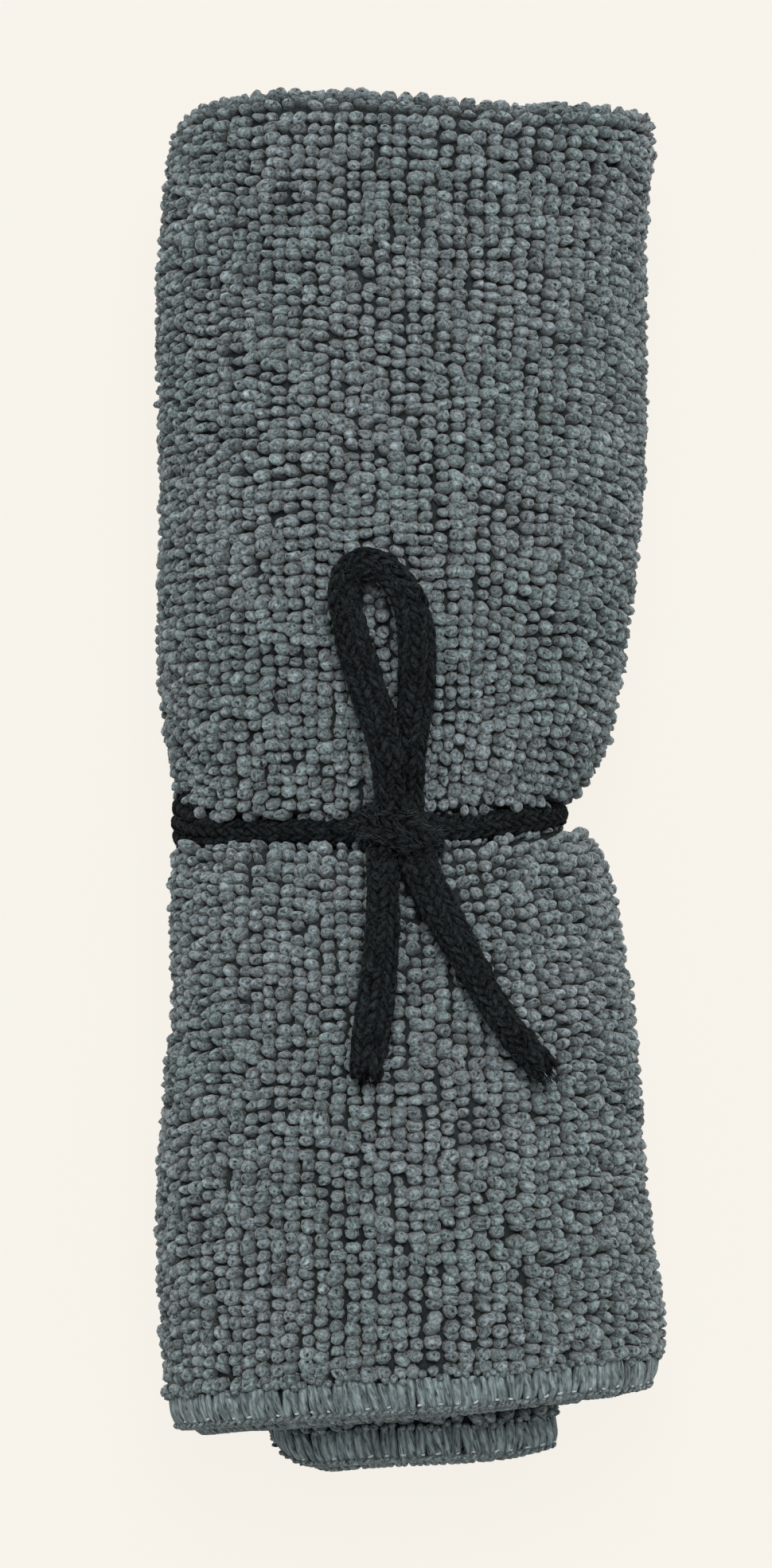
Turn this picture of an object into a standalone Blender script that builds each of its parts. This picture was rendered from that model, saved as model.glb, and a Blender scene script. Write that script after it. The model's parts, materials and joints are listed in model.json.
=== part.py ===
"""Rolled microfibre cloth, tied round the waist with one length of braided cord.

The cloth is a square of looped terry, folded in half and rolled along the fold. It lies on a flat spot
under the roll: +Z is up, the roll runs along Y with the fold at +Y and the overlocked edges at -Y.
Sizes are in millimetres and are scaled to metres where the meshes are made.
"""

import math

import bmesh
import bpy
import numpy as np
from mathutils import Vector
from mathutils.bvhtree import BVHTree

MM = 0.001
FULL_TURN = 360.0

# The outline of the roll at stations along its length: how far it reaches to the left and right of the
# axis, the height of its top, and the height of its underside, where a negative one is pressed flat.
SECTION_COLUMNS = ("y", "left", "right", "top", "under")
SECTIONS = (
    (-105.0, 36.6, 36.8, 45.0, -1.6),
    (-92.0, 37.2, 38.0, 45.6, -1.7),
    (-84.0, 37.5, 38.8, 46.2, -1.8),
    (-72.0, 38.0, 37.6, 46.4, -1.8),
    (-58.0, 37.9, 36.3, 46.2, -1.8),
    (-44.0, 37.2, 35.6, 45.7, -1.8),
    (-30.0, 36.4, 34.2, 44.4, -1.3),
    (-20.0, 36.8, 32.2, 42.6, -0.4),
    (-13.0, 36.5, 29.6, 40.6, 0.5),
    (-7.5, 36.5, 26.4, 38.8, 1.0),
    (-3.0, 36.4, 27.2, 39.6, 0.7),
    (3.0, 37.4, 29.9, 41.6, 0.0),
    (10.0, 38.2, 31.9, 43.6, -0.8),
    (18.0, 38.7, 33.5, 45.2, -1.5),
    (30.0, 38.8, 35.1, 46.4, -1.8),
    (45.0, 38.8, 36.6, 46.8, -1.8),
    (60.0, 38.6, 37.3, 46.6, -1.8),
    (75.0, 38.4, 37.4, 46.2, -1.8),
    (88.0, 38.0, 37.4, 45.8, -1.8),
    (97.0, 37.2, 38.0, 45.4, -1.7),
    (105.0, 36.2, 38.4, 45.0, -1.6),
)
AXIS_HEIGHT = 21.5
SQUARENESS = 2.15
PRESSED_SHARE = 0.93

# The winding, in degrees from the free side edge inwards. The doubled cloth goes clockwise from a lap low
# on the right, under the roll and over its left side.
LAP_ANGLE = 318.0
LAYER = 7.2
LAP_TAPER = 35.0
WOUND = 1038.0
WINDING_STEP = 6.0
JUST_UNDER_A_TURN = FULL_TURN - 1e-6

# Where the two ends of each turn reach: the fold at the top and the overlocked edges at the bottom.
# The innermost turn has slid 9 mm out of the bottom.
END_COLUMNS = ("wound", "fold", "hem")
ENDS = (
    (0.0, 102.6, -92.5),
    (48.0, 102.2, -94.5),
    (93.0, 101.5, -97.0),
    (138.0, 101.2, -98.1),
    (183.0, 101.9, -96.8),
    (228.0, 102.0, -94.7),
    (258.0, 101.0, -93.4),
    (278.0, 99.8, -92.4),
    (298.0, 100.5, -91.5),
    (318.0, 102.6, -90.8),
    (360.0, 102.8, -91.6),
    (420.0, 101.6, -94.8),
    (498.0, 101.3, -97.4),
    (588.0, 101.3, -95.4),
    (618.0, 102.8, -94.2),
    (638.0, 104.0, -93.2),
    (658.0, 103.2, -92.6),
    (684.0, 99.6, -94.6),
    (726.0, 95.0, -100.4),
    (780.0, 94.6, -102.4),
    (858.0, 94.4, -104.0),
    (948.0, 94.6, -102.6),
    (1038.0, 94.8, -101.0),
)
RIM = 2.4
GROOVE = 4.5
SHOULDER = 0.7
FOLD_SHARE = (0.0, 0.2, 0.5, 0.8, 1.0)
EDGE_BULGE = 1.6

# The cord, and the line that it takes round the waist: the angle round the roll and the station.
CORD = 4.6
BAND_CORD = 4.2
CLEARANCE = 0.46
BAND_CLEARANCE = 0.6
BAND_COLUMNS = ("angle", "y")
BAND_LINE = (
    (-42.0, -6.6),
    (0.0, -5.4),
    (35.0, -6.3),
    (60.0, -7.4),
    (90.0, -8.3),
    (125.0, -8.3),
    (148.0, -7.9),
    (162.0, -6.8),
    (174.0, -5.6),
    (190.0, -6.8),
    (206.0, -9.0),
    (232.0, -9.6),
    (275.0, -8.4),
    (318.0, -6.6),
)
BAND_LEFT = 34.1
BAND_RIGHT = 23.0
BAND_TOP = 35.9
BAND_UNDER = 3.2
BAND_FROM = 82.1
BAND_TO = -260.5
BAND_SAMPLES = 721
WAIST = -7.5
WAIST_REACH = 24.0
GROOVE_FLOOR = 2.6
GROOVE_LIP = 4.0
GROOVE_LAP_SHARE = 0.7

# Slow waves in the hand-rolled cloth, and the pleats drawn in by the cord. They fade out between two
# values of the sine of the angle round the roll, so that the underside is even.
WAVE_COLUMNS = ("round", "along", "phase", "height")
WAVES = (
    (3.0, 0.045, 0.4, 0.35),
    (2.0, -0.083, 1.7, 0.30),
    (5.0, 0.031, 2.6, 0.25),
    (1.0, 0.142, 0.9, 0.20),
)
WAVES_NONE = -0.6
WAVES_FULL = 0.1
PLEATS = 11.0
PLEAT_HEIGHT = 0.7
PLEAT_FROM_CORD = 8.0
PLEAT_REACH = 7.0

# Stations of the wall beside the cord, as distances from it, and how many more reach each end.
BESIDE_CORD = (0.0, 1.4, 2.5, 3.1, 3.6, 4.1, 6.2, 9.0, 13.0, 18.0)
WALL_ROWS = 9

# The knot and the routes of the bow and the free ends over the roll, from the knot outwards. Lift is
# the height above the cloth, or above the strand below, that a strand is carried at.
KNOT_CENTRE = (-1.3, -8.6, 40.0)
KNOT_SIZE = (5.2, 3.1, 5.6)
KNOT_SQUARENESS = 2.5
KNOT_RINGS = 14
KNOT_SIDES = 24
KNOT_WRAP_DEPTH = 0.05
KNOT_WRAPS = 3.4
KNOT_SLANT = 0.45
ROUTE_COLUMNS = ("x", "y", "lift")
BOW_ROUTE = (
    (-2.7, -5.1, 2.9),
    (-2.8, -2.4, 3.2),
    (-3.3, 1.7, 3.5),
    (-4.3, 6.2, 1.8),
    (-5.7, 11.1, 0.3),
    (-7.2, 16.1, 0.0),
    (-8.7, 21.1, 0.0),
    (-9.6, 25.6, 0.0),
    (-8.6, 29.3, 0.0),
    (-5.4, 30.6, 0.0),
    (-2.2, 28.9, 0.0),
    (0.1, 25.2, 0.0),
    (1.2, 20.6, 0.0),
    (1.5, 15.8, 0.0),
    (1.4, 11.1, 0.0),
    (0.9, 6.2, 0.0),
    (0.3, 1.7, 0.0),
    (0.0, -2.4, 0.0),
    (-0.1, -5.1, 0.0),
)
END_LEFT_ROUTE = (
    (-3.9, -12.0, 0.0),
    (-3.8, -16.0, 0.0),
    (-3.8, -21.5, 0.0),
    (-4.0, -27.0, 0.0),
    (-4.5, -32.0, 0.0),
    (-5.1, -36.5, 0.0),
    (-5.8, -41.0, 0.0),
    (-6.3, -46.0, 0.0),
)
END_RIGHT_ROUTE = (
    (1.2, -12.2, 0.0),
    (2.8, -17.0, 0.0),
    (5.5, -22.2, 0.0),
    (8.1, -27.0, 0.0),
    (10.6, -31.6, 0.0),
    (13.0, -35.8, 0.0),
    (15.7, -39.4, 0.0),
    (18.6, -42.8, 0.0),
    (20.9, -45.4, 0.0),
)
BAND_STEP = 4.4
BOW_STEP = 3.0
END_STEP = 4.4
TAPER_AT_KNOT = 0.8
TAPER_REACH = 7.0
CORD_ROUNDNESS = 2

# A strand is laid on the cloth by feeling for it under the strand's own round underside: the shares of
# its radius and the number of directions that are felt.
FEEL_FROM = 1000.0
FEEL_SHARES = (0.0, 0.5, 0.85)
FEEL_DIRECTIONS = 8

CLOTH_COLOUR = (0.150, 0.176, 0.184, 1.0)
CORD_COLOUR = (0.012, 0.014, 0.015, 1.0)
CLOTH_ROUGHNESS = 0.95
CORD_ROUGHNESS = 0.85
SMOOTH_UNDER_DEGREES = 40.0


def column(rows, names, name):
    """One named column of a table."""
    return np.array([row[names.index(name)] for row in rows])


def through(knots, values, x):
    """A smooth curve through a table's values, read at x and level past its ends."""
    x = np.clip(x, knots[0], knots[-1])
    i = np.clip(np.searchsorted(knots, x) - 1, 0, len(knots) - 2)
    slopes = np.gradient(values, knots)
    width = knots[i + 1] - knots[i]
    t = (x - knots[i]) / width
    from_left = (2 * t - 3) * t * t + 1
    return (
        from_left * values[i]
        + (1 - from_left) * values[i + 1]
        + t * (t - 1) * (t - 1) * width * slopes[i]
        + t * t * (t - 1) * width * slopes[i + 1]
    )


def table_value(rows, names, name, x):
    """The value of one column where the table's first column is x."""
    return through(column(rows, names, names[0]), column(rows, names, name), x)


def ease(low, high, x):
    """0 below low, 1 above high, and smooth in between."""
    t = np.clip((x - low) / (high - low), 0.0, 1.0)
    return t * t * (3 - 2 * t)


def band_station(angle):
    """Where the cord crosses that side of the roll."""
    first = BAND_LINE[0][0]
    wrapped = (angle - first) % FULL_TURN + first
    return table_value(BAND_LINE, BAND_COLUMNS, "y", wrapped)


def groove_share(angle, y):
    """1 under the cord and 0 outside its groove."""
    return 1 - ease(GROOVE_FLOOR, GROOVE_LIP, np.abs(y - band_station(angle)))


def swell(angle, y):
    """Unevenness of the rolled cloth, with none of it on the underside or under the cord."""
    turn = np.radians(angle)
    waves = 0.0
    for row in WAVES:
        wave = dict(zip(WAVE_COLUMNS, row))
        waves = waves + wave["height"] * np.sin(wave["round"] * turn + wave["along"] * y + wave["phase"])
    from_cord = (np.abs(y - band_station(angle)) - PLEAT_FROM_CORD) / PLEAT_REACH
    pleats = PLEAT_HEIGHT * np.exp(-from_cord * from_cord) * np.cos(PLEATS * turn + np.sin(2 * turn))
    share = ease(WAVES_NONE, WAVES_FULL, np.sin(turn)) * (1 - groove_share(angle, y))
    return (waves + pleats) * share


def power(value, exponent):
    """A power that keeps the value's sign."""
    return np.sign(value) * np.abs(value) ** exponent


def rounded(angle, left, right, up, down):
    """Sideways and upward distances on a squared oval with four different reaches."""
    turn = np.radians(angle)
    side = power(np.cos(turn), 2 / SQUARENESS)
    rise = power(np.sin(turn), 2 / SQUARENESS)
    return side * np.where(side > 0, right, left), rise * np.where(rise > 0, up, down)


def section(angle, y, inset):
    """The x and z of the roll's surface, or of a turn that lies inset under it."""
    pinch = np.exp(-(((y - WAIST) / WAIST_REACH) ** 2))
    station = y - pinch * (band_station(angle) - WAIST)
    share = groove_share(angle, y)
    out = BAND_CORD / 2 + BAND_CLEARANCE
    reach = {}
    for name, cord in (
        ("left", BAND_LEFT - out),
        ("right", BAND_RIGHT - out),
        ("top", BAND_TOP - out),
        ("under", BAND_UNDER + out),
    ):
        lip = table_value(SECTIONS, SECTION_COLUMNS, name, station)
        reach[name] = lip + (cord - lip) * share
    drawn_in = inset * (1 - GROOVE_LAP_SHARE * share)
    grow = swell(angle, y) * np.clip(1 - inset / LAYER, 0.0, 1.0) - drawn_in
    x, rise = rounded(
        angle,
        reach["left"] + grow,
        reach["right"] + grow,
        reach["top"] - AXIS_HEIGHT + grow,
        AXIS_HEIGHT - reach["under"] + grow,
    )
    floor = PRESSED_SHARE * drawn_in
    return x, np.maximum(AXIS_HEIGHT + rise, floor)


def inset_at(wound):
    """How far under the surface a turn's outer side lies."""
    turns = np.floor(wound / FULL_TURN)
    rest = wound - turns * FULL_TURN
    return LAYER * (turns + ease(FULL_TURN - LAP_TAPER, FULL_TURN, rest))


def crest(wound, end):
    """How far along Y the cloth reaches at the fold end or the hem end."""
    return table_value(ENDS, END_COLUMNS, end, wound)


def between_turns(wound, end):
    """The level of the rim of the outer turn, or of the groove between two turns."""
    outward = 1 if end == "fold" else -1
    if wound < FULL_TURN:
        return crest(wound, end) - outward * RIM
    depth = RIM + (GROOVE - RIM) * ease(FULL_TURN, FULL_TURN + LAP_TAPER, wound)
    lower = min(outward * crest(wound, end), outward * crest(wound - FULL_TURN, end))
    return outward * (lower - depth)


def surface_point(wound, y, inset):
    """A point of the cloth in metres."""
    x, z = section(LAP_ANGLE - wound, y, inset)
    return Vector((float(x), float(y), float(z))) * MM


def lap_point(y, share):
    """A point across the rounded free edge, from its outer side to the turn below."""
    point = surface_point(0.0, y, LAYER * share)
    ahead = surface_point(-1.0, y, LAYER * share) - surface_point(0.0, y, LAYER * share)
    bulge = EDGE_BULGE * math.sin(math.pi * share) * MM
    return point + ahead.normalized() * bulge


def wall_stations(wound):
    """The stations of one line along the roll, from the hem to the fold."""
    cord = float(band_station(LAP_ANGLE - wound))
    hem = float(between_turns(min(wound, JUST_UNDER_A_TURN), "hem"))
    fold = float(between_turns(min(wound, JUST_UNDER_A_TURN), "fold"))
    last = BESIDE_CORD[-1]
    below = [hem + (cord - last - hem) * i / WALL_ROWS for i in range(WALL_ROWS)]
    beside = [cord - gap for gap in reversed(BESIDE_CORD)] + [cord + gap for gap in BESIDE_CORD[1:]]
    above = [cord + last + (fold - cord - last) * (i + 1) / WALL_ROWS for i in range(WALL_ROWS)]
    return below + beside + above


def build_end(mesh, ring, end):
    """The wound end: each turn is a rounded ridge, with a groove to the next one in.

    ring holds the wall's end points, one for each step of the outer turn. The points across the free
    edge come back, for the wall's own lap.
    """
    steps = round(WOUND / WINDING_STEP)
    per_turn = round(FULL_TURN / WINDING_STEP)
    outward = 1 if end == "fold" else -1
    groove = list(ring)
    for i in range(len(ring), steps + per_turn + 1):
        wound = i * WINDING_STEP
        level = float(between_turns(wound, end))
        groove.append(mesh.verts.new(surface_point(wound, level, float(inset_at(wound)))))
    ridges = []
    for i in range(steps + 1):
        wound = i * WINDING_STEP
        top = float(crest(wound, end))
        outer = float(inset_at(wound))
        inner = float(inset_at(wound + FULL_TURN))
        ridge = [groove[i]]
        for share in FOLD_SHARE[1:-1]:
            level = top - outward * SHOULDER * (share != 0.5)
            if i == 0:
                ridge.append(mesh.verts.new(lap_point(level, share)))
            else:
                inset = outer + (inner - outer) * share
                ridge.append(mesh.verts.new(surface_point(wound, level, inset)))
        ridge.append(groove[i + per_turn])
        ridges.append(ridge)
    for here, after in zip(ridges, ridges[1:]):
        for a, b, c, d in zip(here, here[1:], after[1:], after):
            mesh.faces.new((a, b, c, d))
    mesh.faces.new(ridges[-1])
    heart = groove[steps:]
    for k in range(per_turn // 2):
        below, above = heart[k : k + 2], heart[per_turn - k - 1 : per_turn - k + 1]
        mesh.faces.new(dict.fromkeys((*below, *above)))
    return ridges[0]


def build_cloth():
    """The roll as one closed body: its wall, its lap and its two wound ends."""
    mesh = bmesh.new()
    per_turn = round(FULL_TURN / WINDING_STEP)
    lines = []
    for i in range(per_turn + 1):
        wound = i * WINDING_STEP
        inset = float(inset_at(wound))
        lines.append([mesh.verts.new(surface_point(wound, y, inset)) for y in wall_stations(wound)])
    for here, after in zip(lines, lines[1:]):
        for a, b, c, d in zip(here, here[1:], after[1:], after):
            mesh.faces.new((a, b, c, d))
    hem_edge = build_end(mesh, [line[0] for line in lines], "hem")
    fold_edge = build_end(mesh, [line[-1] for line in lines], "fold")
    stations = wall_stations(0.0)
    lap = [hem_edge]
    for k in range(1, len(stations) - 1):
        across = [mesh.verts.new(lap_point(stations[k], share)) for share in FOLD_SHARE[1:-1]]
        lap.append([lines[0][k], *across, lines[-1][k]])
    lap.append(fold_edge)
    for here, after in zip(lap, lap[1:]):
        for a, b, c, d in zip(here, here[1:], after[1:], after):
            mesh.faces.new((a, b, c, d))
    bmesh.ops.triangulate(mesh, faces=[face for face in mesh.faces if len(face.verts) > 4])
    bmesh.ops.recalc_face_normals(mesh, faces=mesh.faces)
    return mesh


def along_route(route, step):
    """Evenly spaced points on a smooth curve through a route, as x, y and lift."""
    gaps = np.hypot(
        np.diff(column(route, ROUTE_COLUMNS, "x")), np.diff(column(route, ROUTE_COLUMNS, "y"))
    )
    run = np.concatenate(([0.0], np.cumsum(gaps)))
    at = np.linspace(0.0, run[-1], round(run[-1] / step) + 1)
    laid = [through(run, column(route, ROUTE_COLUMNS, name), at) for name in ROUTE_COLUMNS]
    return np.stack(laid, axis=1), at


def resting_height(tree, x, y, radius):
    """The height of a strand's centre where it just clears the cloth."""
    clear = radius + CLEARANCE
    best = 0.0
    for share in FEEL_SHARES:
        for step in range(FEEL_DIRECTIONS if share else 1):
            turn = math.tau * step / FEEL_DIRECTIONS
            px = x + share * clear * math.cos(turn)
            py = y + share * clear * math.sin(turn)
            hit = tree.ray_cast(Vector((px, py, FEEL_FROM)) * MM, Vector((0, 0, -1)))[0]
            if hit is not None:
                best = max(best, hit.z / MM + clear * math.sqrt(1 - share * share))
    return best


def lay_route(tree, route, step, ends_at_knot):
    """The strand's points and their thickness as a share of the cord's."""
    points, at = along_route(route, step)
    to_knot = np.minimum(at, at[-1] - at) if ends_at_knot == 2 else at
    shares = TAPER_AT_KNOT + (1 - TAPER_AT_KNOT) * ease(0.0, TAPER_REACH, to_knot)
    line = [
        (x, y, resting_height(tree, x, y, CORD / 2 * share) + lift)
        for (x, y, lift), share in zip(points, shares)
    ]
    return line, shares


def band_route():
    """The stretch round the waist, from the knot's right side under the roll to its left side."""
    angles = np.linspace(BAND_FROM, BAND_TO, BAND_SAMPLES)
    x, rise = rounded(
        angles, BAND_LEFT, BAND_RIGHT, BAND_TOP - AXIS_HEIGHT, AXIS_HEIGHT - BAND_UNDER
    )
    line = np.stack((x, band_station(angles), AXIS_HEIGHT + rise), axis=1)
    run = np.concatenate(([0.0], np.cumsum(np.linalg.norm(np.diff(line, axis=0), axis=1))))
    at = np.linspace(0.0, run[-1], round(run[-1] / BAND_STEP) + 1)
    return [tuple(np.interp(s, run, line[:, k]) for k in range(3)) for s in at]


def plain_material(name, colour, roughness):
    """A matt material of one colour."""
    material = bpy.data.materials.new(name)
    material.use_nodes = True
    shader = material.node_tree.nodes["Principled BSDF"]
    shader.inputs["Base Color"].default_value = colour
    shader.inputs["Roughness"].default_value = roughness
    shader.inputs["Metallic"].default_value = 0.0
    return material


def add_mesh(name, shape, material):
    """An object of its own for a finished shape, shaded smooth where it is round."""
    data = bpy.data.meshes.new(name)
    shape.to_mesh(data)
    shape.free()
    data.shade_smooth()
    data.set_sharp_from_angle(angle=math.radians(SMOOTH_UNDER_DEGREES))
    data.materials.append(material)
    piece = bpy.data.objects.new(name, data)
    bpy.context.scene.collection.objects.link(piece)
    return piece


def add_strand(name, line, diameter, shares, material):
    """A stretch of cord as a capped tube along its points."""
    data = bpy.data.curves.new(name, "CURVE")
    data.dimensions = "3D"
    data.bevel_depth = diameter / 2 * MM
    data.bevel_resolution = CORD_ROUNDNESS
    data.use_fill_caps = True
    spline = data.splines.new("POLY")
    spline.points.add(len(line) - 1)
    for point, (x, y, z), share in zip(spline.points, line, shares):
        point.co = (x * MM, y * MM, z * MM, 1.0)
        point.radius = share
    data.materials.append(material)
    piece = bpy.data.objects.new(name, data)
    bpy.context.scene.collection.objects.link(piece)
    return piece


def build_knot():
    """The knot: a squared egg with the ridges of the cord wrapped slantwise round it."""
    mesh = bmesh.new()
    bmesh.ops.create_uvsphere(mesh, u_segments=KNOT_SIDES, v_segments=KNOT_RINGS, radius=1.0)
    for vert in mesh.verts:
        way = vert.co.normalized()
        size = sum(abs(part) ** KNOT_SQUARENESS for part in way) ** (-1 / KNOT_SQUARENESS)
        slant = way.y + KNOT_SLANT * way.x
        wrap = 1 + KNOT_WRAP_DEPTH * (math.cos(KNOT_WRAPS * math.pi * slant) - 1)
        vert.co = Vector(
            (centre + way[k] * size * wrap * KNOT_SIZE[k]) * MM for k, centre in enumerate(KNOT_CENTRE)
        )
    return mesh


def main():
    """Clears the scene and builds the roll, then the tie on it."""
    for old in list(bpy.data.objects):
        bpy.data.objects.remove(old)
    cloth = plain_material("microfibre_terry", CLOTH_COLOUR, CLOTH_ROUGHNESS)
    cord = plain_material("braided_cord", CORD_COLOUR, CORD_ROUGHNESS)
    roll = build_cloth()
    tree = BVHTree.FromBMesh(roll)
    add_mesh("cloth_roll", roll, cloth)
    band = band_route()
    add_strand("tie_band", band, BAND_CORD, [1.0] * len(band), cord)
    add_mesh("tie_knot", build_knot(), cord)
    for name, route, step, ends_at_knot in (
        ("tie_bow", BOW_ROUTE, BOW_STEP, 2),
        ("tie_end_left", END_LEFT_ROUTE, END_STEP, 1),
        ("tie_end_right", END_RIGHT_ROUTE, END_STEP, 1),
    ):
        line, shares = lay_route(tree, route, step, ends_at_knot)
        add_strand(name, line, CORD, shares, cord)


main()
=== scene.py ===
"""The looks of a rolled microfibre cloth, tied round its waist with a braided cord.

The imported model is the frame: every piece lies on it. Sizes in the tables and functions are in
millimetres, and are scaled to metres where meshes are made. A user's own sizes and colours are in the
property groups. The first row of each table names its columns.
"""

import json
import math
from collections import namedtuple

import bpy
import numpy as np
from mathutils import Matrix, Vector
from mathutils.bvhtree import BVHTree

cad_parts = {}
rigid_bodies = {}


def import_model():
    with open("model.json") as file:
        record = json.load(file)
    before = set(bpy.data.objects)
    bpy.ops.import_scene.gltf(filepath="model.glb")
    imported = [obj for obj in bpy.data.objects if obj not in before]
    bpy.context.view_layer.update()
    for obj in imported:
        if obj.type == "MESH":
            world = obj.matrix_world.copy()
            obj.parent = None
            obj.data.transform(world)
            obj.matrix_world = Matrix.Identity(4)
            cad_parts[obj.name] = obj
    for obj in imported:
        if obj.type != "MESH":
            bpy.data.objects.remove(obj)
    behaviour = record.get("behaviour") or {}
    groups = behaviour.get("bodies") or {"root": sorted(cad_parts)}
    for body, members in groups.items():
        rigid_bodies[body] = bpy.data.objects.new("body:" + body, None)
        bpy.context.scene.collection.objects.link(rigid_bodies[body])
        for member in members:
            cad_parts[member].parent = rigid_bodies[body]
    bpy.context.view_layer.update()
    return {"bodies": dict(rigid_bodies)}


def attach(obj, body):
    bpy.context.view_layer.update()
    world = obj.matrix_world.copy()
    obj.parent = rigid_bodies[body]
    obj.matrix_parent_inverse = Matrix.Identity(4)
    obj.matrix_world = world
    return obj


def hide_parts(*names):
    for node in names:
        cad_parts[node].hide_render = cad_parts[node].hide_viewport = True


bl_info = {
    "name": "Rolled Microfibre Cloth",
    "version": (1, 0, 0),
    "blender": (4, 5, 0),
    "location": "View3D > Sidebar > Rolled Cloth",
    "description": "Dresses a rolled cloth with its looped pile, overlocked edges and braided tie",
    "category": "Object",
}

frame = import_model()
BODY = next(iter(frame["bodies"]))

MM = 0.001
FULL_TURN = 360.0
SEED = 20

# The outline of the roll at stations along its length, close to its solid's.
SECTIONS = (
    ("y", "left", "right", "top", "under"),
    (-105, 35.4, 38.8, 45.0, -1.6), (-92, 37.2, 38.0, 45.6, -1.7), (-84, 37.5, 38.8, 46.2, -1.8),
    (-72, 38.0, 37.6, 46.4, -1.8), (-58, 37.9, 36.3, 46.2, -1.8), (-44, 37.2, 35.6, 45.7, -1.8),
    (-30, 36.4, 34.2, 44.4, -1.3), (-20, 36.8, 32.2, 42.6, -0.4), (-13, 36.5, 29.6, 40.6, 0.5),
    (-7.5, 36.5, 26.4, 38.8, 1.0), (-3, 36.4, 27.2, 39.6, 0.7), (3, 37.4, 29.9, 41.6, 0.0),
    (10, 38.2, 31.9, 43.6, -0.8), (18, 38.7, 33.5, 45.2, -1.5), (30, 38.8, 35.1, 46.4, -1.8),
    (45, 38.8, 36.6, 46.8, -1.8), (60, 38.6, 37.3, 46.6, -1.8), (75, 38.4, 37.4, 46.2, -1.8),
    (88, 38.0, 37.4, 45.8, -1.8), (97, 37.2, 38.7, 45.4, -1.7), (105, 36.2, 39.4, 45.0, -1.6),
)
AXIS_HEIGHT = 21.5
SQUARENESS = 2.15
PRESSED_SHARE = 0.93

# The winding, in degrees from the free side edge inwards, and how far the ends of each turn reach.
LAP_ANGLE = 318.0
LAYER = 7.2
LAP_TAPER = 35.0
WOUND = 1038.0
ENDS = (
    ("wound", "fold", "hem"),
    (0, 102.6, -92.5), (48, 102.2, -94.5), (93, 101.5, -97.0), (138, 101.2, -98.1),
    (183, 101.9, -96.8), (228, 102.0, -94.7), (258, 101.0, -93.4), (278, 99.8, -92.4),
    (298, 100.5, -91.5), (318, 102.6, -90.8), (360, 102.8, -91.6), (420, 101.6, -94.8),
    (498, 101.3, -97.4), (588, 101.3, -95.4), (618, 102.8, -94.2), (638, 104.0, -93.2),
    (658, 103.2, -92.6), (684, 99.6, -94.6), (726, 95.0, -100.4), (780, 94.6, -102.4),
    (858, 94.4, -104.0), (948, 94.6, -102.6), (1038, 94.8, -101.0),
)
RIM = 2.0
FOLD_PUFF = (
    ("wound", "puff"),
    (0, 1.6), (115, 1.7), (140, 2.0), (160, 3.0), (184, 2.9), (205, 2.3), (222, 1.5), (240, 0.9),
    (258, 1.2), (270, 2.7), (283, 3.7), (297, 3.3), (312, 3.3), (327, 2.3), (345, 1.7), (588, 1.5),
    (604, 0.9), (616, 0.3), (630, 0.1), (643, 1.3), (656, 1.4), (675, 1.0), (700, 1.6), (730, 1.6),
    (1038, 1.6),
)
HEM_TRIM = (
    ("wound", "trim"),
    (0, 0), (262, 0), (272, 0), (300, -0.7), (330, -0.7), (352, 0), (362, 0), (655, 0), (670, 0),
    (690, 1.6), (702, 2.6), (714, 2.2), (728, 1.0), (745, 0), (755, 0), (800, 0), (808, 0.6),
    (818, 2.3), (832, 4.0), (854, 4.2), (868, 3.3), (880, 1.7), (892, 0.5), (905, 0), (915, 0),
    (1000, 0), (1038, 0.4),
)
HEM_REACH = 0.45
HEM_CURL = 0.6
HEM_CURL_REACH = 2.4
FOLD_ROUNDNESS = 0.85
FOLD_REACH = 4.75
BURIED_SQUEEZE = 0.38

# The cord's line round the waist, its groove, and the waves and pleats beside it. Each table of angles
# round the roll covers a full turn from the first one here.
TABLES_FROM = -42.0
BAND_LINE = (
    ("angle", "y"),
    (TABLES_FROM, -6.6), (0, -4.5), (35, -6.1), (60, -7.4), (90, -8.3), (125, -8.3), (148, -7.9),
    (162, -6.8), (174, -5.6), (190, -6.8), (206, -9.0), (232, -9.6), (275, -8.4), (318, -6.6),
)
BAND_CORD = 4.2
BAND_CLEARANCE = 0.6
BAND_LEFT = 34.1
BAND_RIGHT = 23.0
BAND_TOP = 35.9
BAND_UNDER = 3.2
BAND_ANGLES = np.linspace(82.1, -260.5, 61)
WAIST = -7.5
WAIST_REACH = 24.0
GROOVE_FLOOR = 1.5
GROOVE_LIP = 3.3
GROOVE_LAP_SHARE = 0.7
WAVES = (
    ("round", "along", "phase", "height"),
    (3, 0.045, 0.4, 0.35), (2, -0.083, 1.7, 0.30), (5, 0.031, 2.6, 0.25), (1, 0.142, 0.9, 0.20),
)
WAVES_NONE = -0.6
WAVES_FULL = 0.1
PLEATS = 11.0
PLEAT_HEIGHT = 0.7
PLEAT_FROM_CORD = 8.0
PLEAT_REACH = 7.0

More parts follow.
